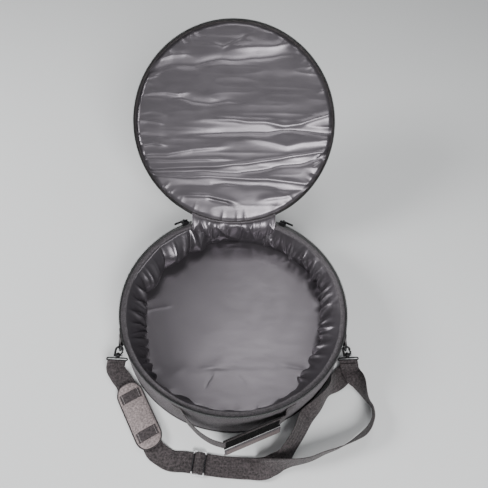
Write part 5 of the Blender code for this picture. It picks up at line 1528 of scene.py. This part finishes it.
def make_side(word):
    """Ring, tab, snap hook, gate, rivet, swivel eye and the strap's end loop of one side."""
    hang = hang_frame(word)
    turn = np.linspace(0, pi, 25)
    bow = joined(0, RING_BOW * np.cos(turn), RING_BOW * np.sin(turn))
    bar = joined(0, np.linspace(-RING_BOW, RING_BOW, 18)[1:-1], 0)
    path = softened(np.vstack([bow, bar]), 2)
    ring = rod(carried(path, hang), RING_WIRE, hang[:3, 0], 14, along=True)
    black = ("black_metal", "black_metal")
    piece(f"{word}_ring", f"{word}_ring", [ring], *black, [f"{word}_d_ring"])
    piece(f"{word}_snap_hook", f"{word}_hook", hook_shapes(hang), *black, [f"{word}_hook"])
    lever = [
        box_shape(
            (GATE_PIN_X - GATE_THICKNESS / 2, -GATE_WIDTH / 2, GATE_TIP),
            (GATE_PIN_X + GATE_THICKNESS / 2, GATE_WIDTH / 2, GATE_PIN_Z + 0.001), hang,
        ),
        box_shape(
            (GATE_PIN_X + 0.0004, -GATE_WIDTH * 0.42, GATE_TIP + 0.0022),
            (GATE_PIN_X + 0.0030, GATE_WIDTH * 0.42, GATE_TIP + 0.0052), hang,
        ),
    ]
    piece(f"{word}_snap_gate", f"{word}_gate", lever, *black, [f"{word}_hook_gate"])
    half = GATE_WIDTH / 2 + AIR + LUG
    head = 0.0004
    near = np.array([(0.0007, -head), (0.0013, -head * 0.4), (0.0013, 0), (0.0009, 0)])
    profile = np.vstack([near, (near * (1, -1) + (0, 2 * half))[::-1]])
    start = carried(np.array([GATE_PIN_X, -half, GATE_PIN_Z]), hang)
    rivet = lathe(profile, start, hang[:3, 1], hang[:3, 0], 14)
    piece(
        f"{word}_rivet", f"{word}_hook", [rivet], "bright_metal", "bright_metal", [f"{word}_gate_pin"],
    )
    make_eye(word, hang)
    make_loop_and_tab(word, hang)


def make_eye(word, hang):
    """The swivelling foot: an oblong wire loop, a collar and a headed post in the barrel."""
    middle = (EYE_UPPER + EYE_LOWER) / 2
    lift = (EYE_LOWER - EYE_UPPER) / 2
    turn = circle(64)
    wide, tall = squared(turn, 0.22, 0.45)
    path = joined(EYE_HALF * wide, 0, middle + lift * tall)
    shapes = [rod(carried(path, hang), EYE_WIRE, hang[:3, 1], 12, along=True)]
    post = [
        (0.0010, BARREL_TOP - 0.0024), (0.0026, BARREL_TOP - 0.0021),
        (0.0029, BARREL_TOP - 0.0012), (0.0029, BARREL_TOP - 0.0003),
        (POST_RADIUS, BARREL_TOP - 0.0002), (POST_RADIUS, BARREL_LOW + 0.0002), (0.0036, BARREL_LOW + 0.0004),
        (0.0036, EYE_UPPER - 0.0014), (0.0030, EYE_UPPER - 0.0004), (0.0012, EYE_UPPER + 0.0008),
    ]
    shapes.append(lathe(post, hang[:3, 3], hang[:3, 2], hang[:3, 0]))
    piece(
        f"{word}_eye", f"{word}_ring", shapes, "black_metal", "black_metal", [f"{word}_swivel_eye"],
    )


def make_loop_and_tab(word, hang):
    """The strap's end loop round the eye's lower bar, and the sewn tab round the ring's bar."""
    turn_radius = EYE_WIRE + AIR + WEBBING / 2
    root_z = EYE_LOWER + turn_radius
    turn = np.linspace(0, -pi, 14)
    bend = root_z - 0.0003 + turn_radius * np.sin(turn)
    legs = np.linspace(LOOP_FOOT, root_z, 5)
    path = np.concatenate([
        joined(0, LOOP_OFFSET, legs),
        joined(0, turn_radius * np.cos(turn), bend),
        joined(0, -LOOP_OFFSET, legs[::-1]),
    ])
    loop = sweep(carried(path, hang), hang[:3, 0], flat_section(STRAP_WIDTH, WEBBING))
    piece(f"{word}_end_loop", f"{word}_ring", [loop], "webbing", "webbing", [f"{word}_strap_loop"])
    out = hang[:3, 3] * np.array([1, 1, 0])
    centre = np.linalg.norm(out)
    out = out / centre
    bar = hang[:3, 1]
    up = np.cross(out, bar)
    up = up * (1 if up[2] > 0 else -1)
    fold = RING_WIRE + AIR + WEBBING / 2
    inner = SEWN_RADIUS
    outer = inner + WEBBING + AIR
    turn = np.linspace(pi, tau, 12)
    shape = np.concatenate([
        [(inner, level) for level in TAB_LEVELS],
        joined(centre + fold * np.cos(turn), fold * np.sin(turn)),
        [(centre + fold, fold * 0.8)],
        [(outer, level) for level in TAB_LEVELS[::-1]],
    ])
    base = np.array([0.0, 0.0, hang[2, 3]])
    route = base + shape[:, :1] * out + shape[:, 1:] * up
    tab = sweep(route, bar, flat_section(TAB_WIDTH, WEBBING))
    piece(f"{word}_tab", "root", [tab], "webbing", "webbing", [f"{word}_ring_tab"])
    corners = np.array([(-1, -1), (1, -1), (1, 1), (-1, 1)]) * TAB_PATCH
    patch = base + out * (outer + WEBBING / 2 + STITCH_LIFT)
    spots = []
    ways = []
    for first, last in ((0, 1), (1, 2), (2, 3), (3, 0), (0, 2), (3, 1)):
        seam = corners[last] - corners[first]
        flat = corners[first] + seam * np.linspace(0.08, 0.92, 6)[:, None]
        spots.append(patch + flat[:, :1] * bar + (flat[:, 1:] + TAB_PATCH_RISE) * up)
        ways.append(np.broadcast_to(seam[0] * bar + seam[1] * up, (6, 3)))
    spots = np.vstack(spots)
    sewn = stitches(spots, np.vstack(ways), spots * 0 + out)
    piece(f"{word}_tab_stitches", "root", [sewn], "thread", "webbing")


def hung_strap(name, word, route, node):
    """Webbing that lies still along its route; the place where one side's ring would lift it is worked out
    but not used.
    """
    made = piece(name, None, [webbing_strip(route)], "webbing", "webbing", [node])
    foot = carried(np.array([0.0, 0.0, LOOP_FOOT]), hang_frame(word))
    start = foot - (0.0, STRAP_LIFT[word], 0.0)
    foot - (0.0, STRAP_SEWN, 0.0)
    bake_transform(made)


def make_straps():
    """The strap's two layers and the three-bar slide that they run through."""
    adjuster = local_frame(ADJUSTER_AIM, (-ADJUSTER_AIM[1], ADJUSTER_AIM[0], 0), ADJUSTER_PLACE)
    main = np.vstack([
        smooth_route(LEFT_END, ROUTE_STEP)[:-1],
        smooth_route(ADJUSTER_WAVE, 0.0014)[:-1],
        smooth_route(OUTER_LAYER, ROUTE_STEP),
    ])
    under_pad = int(np.argmin(np.hypot(main[:, 0] - PAD_PLACE[0], main[:, 1] - PAD_PLACE[1])))
    hung_strap("shoulder_strap_start", "left", main[:under_pad + 1], "strap_main")
    hung_strap("shoulder_strap", "right", main[under_pad:], "strap_main")
    wrap = ADJUSTER_WIRE + AIR + WEBBING / 2
    turn = np.linspace(radians(35), radians(270), 14)
    floor = FLOOR_GAP + WEBBING / 2 - ADJUSTER_PLACE[2]
    pitch = ADJUSTER_HALF_LENGTH
    loop = np.concatenate([
        joined(wrap * np.cos(turn), 0, wrap * np.sin(turn)),
        [(pitch * 0.5, 0, (floor - wrap) / 2)],
        [(pitch * share, 0, floor) for share in (1.0, 1.7, 2.4, 3.2)],
    ])
    side = adjuster[:3, 1]
    rows = np.hstack([carried(loop, adjuster), np.broadcast_to(side, (len(loop), 3))])
    back = np.vstack([rows, smooth_route(RETURN_LAYER, ROUTE_STEP)])
    hung_strap("strap_under_layer", "right", back, "strap_return")
    half = STRAP_WIDTH / 2 + 0.0005 + ADJUSTER_WIRE
    turn = circle(96)
    long, wide = squared(turn, 0.16, 0.16)
    outline = joined(pitch * long, half * wide, 0)
    bar = joined(0, np.linspace(-half, half, 9), 0)
    shapes = [
        rod(carried(outline, adjuster), ADJUSTER_WIRE, adjuster[:3, 2], 12, along=True),
        rod(carried(bar, adjuster), ADJUSTER_WIRE * 0.98, adjuster[:3, 2], 12),
    ]
    piece("strap_slide", "adjuster", shapes, "slide_metal", "bright_metal", ["strap_adjuster"])


def pad_half_width(along):
    """Half the pad's width: full in the middle, tapered to the ends, drawn in to a round corner."""
    gone = np.abs(along)
    taper = rise((gone - (PAD_HALF_LENGTH - PAD_TAPER)) / PAD_TAPER)
    width = PAD_HALF_WIDTH + (PAD_END_HALF_WIDTH - PAD_HALF_WIDTH) * taper
    return width * (1 - (gone / PAD_HALF_LENGTH) ** 22) ** 0.5


def pad_curl(along):
    """How far the pad's face curls up towards its ends, and its backing thins there."""
    return 0.0016 * rise((np.abs(along) / PAD_HALF_LENGTH - 0.72) / 0.28)


def pad_shape(place, low, high, crown):
    """A crowned oblong: two grids that meet at a seam, lifted by sqrt((1 - a¹⁰)(1 - b⁶)).

    A crowned face is held down under its keepers and curls up at its ends; a flat backing thins there.
    """
    a = np.sin(np.linspace(-pi / 2, pi / 2, 90))[:, None]
    b = np.sin(np.linspace(-pi / 2, pi / 2, 40))[None]
    along = PAD_HALF_LENGTH * a * 0.9995
    x = along + 0 * b
    y = pad_half_width(along) * b
    body = np.sqrt(np.clip(1 - a ** 10, 0, 1)) * np.sqrt(np.clip(1 - b ** 6, 0, 1))
    held = np.exp(-((np.abs(along) - KEEPER_AT) / (KEEPER_HALF_LENGTH * 1.3)) ** 4)
    high = high - pad_curl(x) * (crown == 0)
    middle = (low + high) / 2 + pad_curl(x) * (crown > 0)
    lumps = 0.0004 * noise(x * 90 + 9, y * 90 + 9, 81)
    half = (high - low) / 2
    top = middle + (half + crown * (1 - held) * (1 - b ** 2) + lumps) * body
    bottom = middle - half * body
    upper = joined(x, y, top)
    lower = joined(x, y, bottom)
    return [grid(carried(upper, place), turned=True), grid(carried(lower, place))]


def weld(made):
    """Join the rims of a piece's faces and point them all outwards."""
    shape = bmesh.new()
    shape.from_mesh(made.data)
    bmesh.ops.remove_doubles(shape, verts=shape.verts, dist=0.00002)
    bmesh.ops.recalc_face_normals(shape, faces=shape.faces)
    shape.to_mesh(made.data)
    shape.free()
    return made


def make_pad():
    """The shoulder pad: padded face, backing, bound edge and two sewn keepers."""
    aim = np.array(PAD_AIM)
    place = local_frame(aim, np.cross((0, 0, 1), aim), PAD_PLACE)
    for name, low, high, crown, node, fill in (
        ("pad_face", PAD_FACE_LOW, PAD_FACE_TOP, PAD_CROWN, "shoulder_pad", 0.6),
        ("pad_back", FLOOR_GAP, PAD_BACK_TOP, 0.0, "pad_backing", 0.4),
    ):
        shapes = pad_shape(place, low, high, crown)
        weld(piece(name, "pad", shapes, "pad_cloth", "pad_cloth", [node], PAD_EDGE))
    a = np.sin(np.linspace(-pi / 2, pi / 2, 70))
    along = PAD_HALF_LENGTH * a
    half = pad_half_width(along) + 0.0002
    middle = (PAD_FACE_LOW + PAD_FACE_TOP) / 2 + pad_curl(along)
    loop = np.concatenate([
        joined(along, half, middle),
        joined(along[::-1], -half[::-1], middle[::-1])[1:-1],
    ])
    loop = softened(loop, 3)
    edge = sweep(carried(loop, place), (0, 0, 1), round_section(0.0020, 10, 0.8), along=True)
    piece("pad_edge_binding", "pad", [edge], "binding", "webbing")
    for name, centre in (("upper", -KEEPER_AT), ("lower", KEEPER_AT)):
        y = np.linspace(-KEEPER_HALF_SPAN, KEEPER_HALF_SPAN, 13)
        sag = PAD_FACE_TOP + KEEPER_THICKNESS - KEEPER_SAG * (np.abs(y) / KEEPER_HALF_SPAN) ** 4
        path = joined(centre, y, sag)
        section = flat_section(2 * KEEPER_HALF_LENGTH, KEEPER_THICKNESS, 8)
        strip = sweep(carried(path, place), place[:3, 0], section)
        piece(f"pad_strap_keeper_{name}", "pad", [strip], "webbing", "webbing", [f"pad_keeper_{name}"])
        row = np.tile(centre + KEEPER_HALF_LENGTH * 0.8 * np.linspace(-1, 1, 10), 2)
        seam = np.repeat([-KEEPER_SEAM, KEEPER_SEAM], 10)
        lift = PAD_FACE_TOP + 0.0022 - KEEPER_SAG * (np.abs(seam) / KEEPER_HALF_SPAN) ** 4
        local = np.column_stack([row, seam, lift])
        ways = np.broadcast_to(place[:3, 0], local.shape)
        up = np.broadcast_to(place[:3, 2], local.shape)
        sewn = stitches(carried(local, place), ways, up, 0.0012, 0.00038)
        piece(f"pad_stitches_{name}", "pad", [sewn], "pale_thread", "webbing")


def upright(points):
    """Route rows at the handle's height with the width direction straight up."""
    points = np.asarray(points, float)
    height = np.full(len(points), HANDLE_HEIGHT)
    return np.column_stack([points, height, points * 0, np.ones(len(points))])


def leg_route(side, ends):
    """A leg's route: flat on the wall over the sewn patch, then out to the handle."""
    track = SEWN_RADIUS
    steps = np.array([-1.0, 0.0, 1.0])
    sewn = polar(track, -pi / 2 + side * (HANDLE_LEG - steps * HANDLE_PATCH / 2), 0.0)[:, :2]
    bend = polar(track + WEBBING, -pi / 2 + side * (HANDLE_LEG - HANDLE_PATCH * 0.8), 0.0)[None, :2]
    return np.vstack([sewn, bend, np.array(ends)])


def make_handle():
    """The carry handle: two sewn legs, the loose webbing and the wrap-round grip, lying open."""
    for word, side, ends in (("left", -1, [LEFT_JOINT]), ("right", 1, [RIGHT_CORNER, RIGHT_JOINT])):
        route = upright(leg_route(side, ends))
        leg = sweep(route[:, :3], (0, 0, 1), flat_section(STRAP_WIDTH, WEBBING))
        piece(f"{word}_sewn_leg", "root", [leg], "webbing", "webbing", [f"{word}_handle_leg"])
        centre = -pi / 2 + side * HANDLE_LEG
        rows = HANDLE_HEIGHT + np.linspace(-LEG_SEAM_HALF_HEIGHT, LEG_SEAM_HALF_HEIGHT, 12)
        bearings = centre + np.array([[-LEG_SEAM], [LEG_SEAM]]) / SEWN_RADIUS
        spots = polar(SEWN_RADIUS + WEBBING / 2 + STITCH_LIFT, bearings, rows).reshape(-1, 3)
        out = unit(spots * (1, 1, 0))
        sewn = stitches(spots, out * 0 + (0, 0, 1), out, 0.0022)
        piece(f"{word}_leg_stitches", "root", [sewn], "thread", "webbing")
    first = smooth_route(upright(HANDLE_ROUTE), ROUTE_STEP)
    end = upright(HANDLE_END)
    steps = np.linspace(0, 1, 24)[1:, None]
    run = first[-1] + (end[0] - first[-1]) * steps
    route = np.vstack([first, run, end[1:]])
    strap = sweep(route[:, :3], (0, 0, 1), flat_section(STRAP_WIDTH, WEBBING))
    piece("handle_webbing", "handle", [strap], "webbing", "webbing", ["handle_strap"])
    make_grip()


def grip_frame():
    """X along the grip to its left end, Y to the front and Z up at the grip's middle."""
    left = np.array([*HANDLE_ROUTE[-1], HANDLE_HEIGHT])
    right = np.array([*HANDLE_END[0], HANDLE_HEIGHT])
    along = unit(left - right)
    return local_frame(along, np.cross((0, 0, 1), along), (left + right) / 2)


def rounded(outline):
    """Cut a closed outline's corners, twice: each side gives points at 15% and 85% of its length."""
    outline = np.asarray(outline, float)
    for _ in range(2):
        ahead = np.roll(outline, -1, axis=0)
        pairs = [outline * 0.85 + ahead * 0.15, outline * 0.15 + ahead * 0.85]
        outline = np.stack(pairs, axis=1).reshape(-1, 2)
    return outline


def grip_strip(outline, place, length, waver=0.0):
    """Carry a closed (front, height) outline along the grip, with a slight waver."""
    x = np.linspace(-length / 2, length / 2, 40)
    outline = rounded(outline)
    front = outline[None, :, 0] + waver * noise(x * 90 + 9, x * 0, 91)[:, None]
    points = joined(x[:, None], front, outline[None, :, 1])
    return grid(carried(points, place), around=True, caps=True)


def make_grip():
    """Sleeve, flap, hooked strip, pile strip and the flap's pale edge."""
    place = grip_frame()
    flap_joint = JOINTS["grip_flap_close"]
    local = np.linalg.inv(place) @ np.array([*flap_joint["pos_m"], 1.0])
    hinge_y = local[1]
    hinge_z = local[2]
    back = -(WEBBING / 2 + AIR)
    top = STRAP_WIDTH / 2 + 0.0010
    low = -(STRAP_WIDTH / 2 + AIR)
    front = hinge_y - GRIP_CLOTH / 2 - AIR
    sleeve = [
        (back, low), (back, top), (back - GRIP_CLOTH, top), (back - GRIP_CLOTH, low - GRIP_CLOTH),
        (front, low - GRIP_CLOTH), (front, low),
    ]
    wrap = grip_strip(sleeve[::-1], place, GRIP_LENGTH, 0.0002)
    piece("grip_wrap", "handle", [wrap], "grip_cloth", "outer_cloth", ["grip_sleeve"])
    face = WEBBING / 2 + AIR
    half = STRAP_WIDTH * 0.47
    hooks = [(face, -half), (face, half), (face + GRIP_HOOK_BACKING, half), (face + GRIP_HOOK_BACKING, -half)]
    shapes = [grip_strip(hooks, place, GRIP_STRIP_LENGTH)]
    u, v = np.meshgrid(np.linspace(-1, 1, 48), np.linspace(-1, 1, 14))
    row = u.ravel() * GRIP_LENGTH * 0.46 + 0.0008 * np.sin(np.arange(u.size) * 2.4)
    spots = carried(np.column_stack([row, np.full(u.size, face + 0.0008), v.ravel() * half * 0.93]), place)
    up = np.broadcast_to(place[:3, 2], spots.shape)
    shapes.append(stitches(spots, place[:3, 1] + 0.25 * up, up, 0.0012, 0.00060))
    piece("grip_hooks", "handle", shapes, "closing_strip", "closing_strip", ["grip_hook_strip"])
    angle = -radians(flap_joint["range_deg"][1])
    turned = np.eye(4)
    turned[1:3, 1:3] = [[cos(angle), -sin(angle)], [sin(angle), cos(angle)]]
    turned[:3, 3] = (0, hinge_y, hinge_z)
    flap_place = place @ turned
    cloth = GRIP_CLOTH / 2
    reach = GRIP_FLAP_REACH
    flap = [(-cloth, 0), (-cloth, reach), (cloth, reach), (cloth, 0)]
    flap = grip_strip(flap, flap_place, GRIP_LENGTH, 0.0002)
    piece("grip_open_flap", "grip_flap", [flap], "outer_cloth", "outer_cloth", ["grip_flap"])
    near = reach * 0.12
    far = reach * 0.94
    skin = -cloth - AIR
    pile = [(skin - 0.0010, near), (skin - 0.0010, far), (skin, far), (skin, near)]
    pile = grip_strip(pile, flap_place, GRIP_STRIP_LENGTH)
    piece("grip_pile", "grip_flap", [pile], "pale_pile", "closing_strip", ["grip_pile_strip"])
    edge = np.linspace(-GRIP_LENGTH / 2, GRIP_LENGTH / 2, 24)
    path = joined(edge, 0, reach)
    binding = rod(carried(path, flap_place), 0.0016, flap_place[:3, 1], 10, flat=0.9)
    piece("grip_pale_edge", "grip_flap", [binding], "pale_edge", "pad_cloth")


def smooth_copy(node, name, body, slot, width=0.00025):
    """A merged, softened copy of a machined node: loose triangles are joined and its edges bevelled."""
    source = frame["nodes"][node]
    mesh = source.data.copy()
    shape = bmesh.new()
    shape.from_mesh(mesh)
    bmesh.ops.remove_doubles(shape, verts=shape.verts, dist=0.00001)
    bmesh.ops.dissolve_limit(shape, angle_limit=radians(1), verts=shape.verts, edges=shape.edges)
    shape.to_mesh(mesh)
    shape.free()
    mesh.materials.clear()
    mesh.materials.append(paint(slot))
    mesh.shade_smooth()
    mesh.set_sharp_from_angle(angle=radians(35))
    made = bpy.data.objects.new(name, mesh)
    bpy.context.scene.collection.objects.link(made)
    edge = made.modifiers.new("soft_edges", "BEVEL")
    edge.width = width
    edge.segments = 2
    edge.limit_method = "ANGLE"
    edge.angle_limit = radians(40)
    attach(made, body)
    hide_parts(node)


def make_sliders():
    """The two sliders and their pulls."""
    for word in ("left", "right"):
        smooth_copy(f"{word}_zip_slider", f"{word}_slider_body", f"{word}_slider", "black_metal")
        smooth_copy(f"{word}_zip_pull", f"{word}_pull_tab", f"{word}_pull", "black_metal", 0.0004)


def area_light(name, place, aim, width, height, power):
    """An oblong soft light at a place, turned to a point."""
    data = bpy.data.lights.new(name, "AREA")
    data.shape = "RECTANGLE"
    data.size = width
    data.size_y = height
    data.energy = power
    lamp = bpy.data.objects.new(name, data)
    lamp.location = place
    lamp.rotation_euler = (Vector(aim) - Vector(place)).to_track_quat("-Z", "Y").to_euler()
    bpy.context.scene.collection.objects.link(lamp)


def make_stage():
    """Floor, soft lights and the camera at the photograph's angle."""
    stage = bpy.context.scene.drumbag_stage
    ticks = np.linspace(-4.0, 4.0, 9)
    y, x = np.meshgrid(ticks, ticks, indexing="ij")
    points = joined(x, y, FLOOR_LEVEL)
    surface("floor", [grid(points)], "floor")
    world = bpy.data.worlds.new("soft_sky")
    world.use_nodes = True
    back = world.node_tree.nodes["Background"]
    back.inputs["Color"].default_value = (0.93, 0.97, 1.0, 1.0)
    back.inputs["Strength"].default_value = stage.sky
    bpy.context.scene.world = world
    area_light("key_light", (0.75, -2.2, 1.95), (0.0, 0.2, 0.1), 1.3, 1.2, stage.key_power)
    area_light("top_light", (0.24, 0.98, 2.6), (0.0, -0.05, 0.0), 0.84, 1.4, stage.top_power)
    area_light("side_light", (-2.3, 0.1, 1.6), (0.0, 0.1, 0.1), 1.0, 1.0, stage.side_power)
    data = bpy.data.cameras.new("camera")
    data.sensor_width = 36.0
    data.lens = stage.lens
    camera = bpy.data.objects.new("camera", data)
    pitch = stage.camera_pitch
    yaw = stage.camera_yaw
    forward = Vector((sin(yaw) * cos(pitch), cos(yaw) * cos(pitch), -sin(pitch)))
    right = Vector((cos(yaw), -sin(yaw), 0.0))
    up = right.cross(forward)
    rolled = right * cos(stage.camera_roll) + up * sin(stage.camera_roll)
    upright_way = up * cos(stage.camera_roll) - right * sin(stage.camera_roll)
    turn = Matrix((rolled, upright_way, -forward)).transposed().to_4x4()
    turn.translation = stage.camera_place
    camera.matrix_world = turn
    bpy.context.scene.collection.objects.link(camera)
    bpy.context.scene.camera = camera


class DRUMBAG_OT_stage(bpy.types.Operator):
    """Set up the floor, the lights and the camera"""

    bl_idname = "drumbag.stage"
    bl_label = "Stage"

    def execute(self, context):
        make_stage()
        return {"FINISHED"}


class DRUMBAG_OT_base(bpy.types.Operator):
    """Make the base panel, its lining and its piping"""

    bl_idname = "drumbag.base"
    bl_label = "Base"

    def execute(self, context):
        make_base()
        return {"FINISHED"}


class DRUMBAG_OT_wall(bpy.types.Operator):
    """Make the side wall, its lining and the band on its top edge"""

    bl_idname = "drumbag.wall"
    bl_label = "Wall"

    def execute(self, context):
        make_wall()
        return {"FINISHED"}


class DRUMBAG_OT_zip(bpy.types.Operator):
    """Make both halves of the zip, the sliders and the pulls"""

    bl_idname = "drumbag.zip"
    bl_label = "Zip"

    def execute(self, context):
        make_zip()
        make_sliders()
        return {"FINISHED"}


class DRUMBAG_OT_lid(bpy.types.Operator):
    """Make the lid and its folded lining"""

    bl_idname = "drumbag.lid"
    bl_label = "Lid"

    def execute(self, context):
        make_lid()
        return {"FINISHED"}


class DRUMBAG_OT_hinge(bpy.types.Operator):
    """Make the cloth that crosses the hinge"""

    bl_idname = "drumbag.hinge"
    bl_label = "Hinge"

    def execute(self, context):
        make_hinge()
        return {"FINISHED"}


class DRUMBAG_OT_hooks(bpy.types.Operator):
    """Make the rings, tabs and snap hooks of both sides"""

    bl_idname = "drumbag.hooks"
    bl_label = "Rings and hooks"

    def execute(self, context):
        for word in ("left", "right"):
            make_side(word)
        return {"FINISHED"}


class DRUMBAG_OT_strap(bpy.types.Operator):
    """Make the shoulder strap and its slide"""

    bl_idname = "drumbag.strap"
    bl_label = "Shoulder strap"

    def execute(self, context):
        make_straps()
        return {"FINISHED"}


class DRUMBAG_OT_pad(bpy.types.Operator):
    """Make the shoulder pad"""

    bl_idname = "drumbag.pad"
    bl_label = "Shoulder pad"

    def execute(self, context):
        make_pad()
        return {"FINISHED"}


class DRUMBAG_OT_handle(bpy.types.Operator):
    """Make the carry handle and its grip"""

    bl_idname = "drumbag.handle"
    bl_label = "Carry handle"

    def execute(self, context):
        make_handle()
        return {"FINISHED"}


OPERATORS = (
    DRUMBAG_OT_stage, DRUMBAG_OT_base, DRUMBAG_OT_wall, DRUMBAG_OT_zip, DRUMBAG_OT_lid,
    DRUMBAG_OT_hinge, DRUMBAG_OT_hooks, DRUMBAG_OT_strap, DRUMBAG_OT_pad, DRUMBAG_OT_handle,
)
GROUPS = {
    "drumbag_sizes": DrumbagSizes,
    "drumbag_colours": DrumbagColours,
    "drumbag_stage": DrumbagStage,
}


class DRUMBAG_PT_panel(bpy.types.Panel):
    """Lists the bag's sizes, colours and makers"""

    bl_idname = "DRUMBAG_PT_panel"
    bl_label = "Drum bag"
    bl_space_type = "VIEW_3D"
    bl_region_type = "UI"
    bl_category = "Drum bag"

    def draw(self, context):
        for group in GROUPS:
            settings = getattr(context.scene, group)
            column = self.layout.column()
            for field in settings.__annotations__:
                column.prop(settings, field)
        for maker in OPERATORS:
            self.layout.operator(maker.bl_idname)


def register():
    """Register the classes and hang the settings on the scene."""
    for item in (*GROUPS.values(), *OPERATORS, DRUMBAG_PT_panel):
        bpy.utils.register_class(item)
    for name, group in GROUPS.items():
        setattr(bpy.types.Scene, name, bpy.props.PointerProperty(type=group))


def unregister():
    """Take the settings and classes away again."""
    for name in GROUPS:
        delattr(bpy.types.Scene, name)
    for item in (DRUMBAG_PT_panel, *reversed(OPERATORS), *GROUPS.values()):
        bpy.utils.unregister_class(item)


def main():
    """Make every piece."""
    register()
    for maker in OPERATORS:
        family, name = maker.bl_idname.split(".")
        getattr(getattr(bpy.ops, family), name)()
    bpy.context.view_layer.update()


if __name__ == "__main__":
    main()
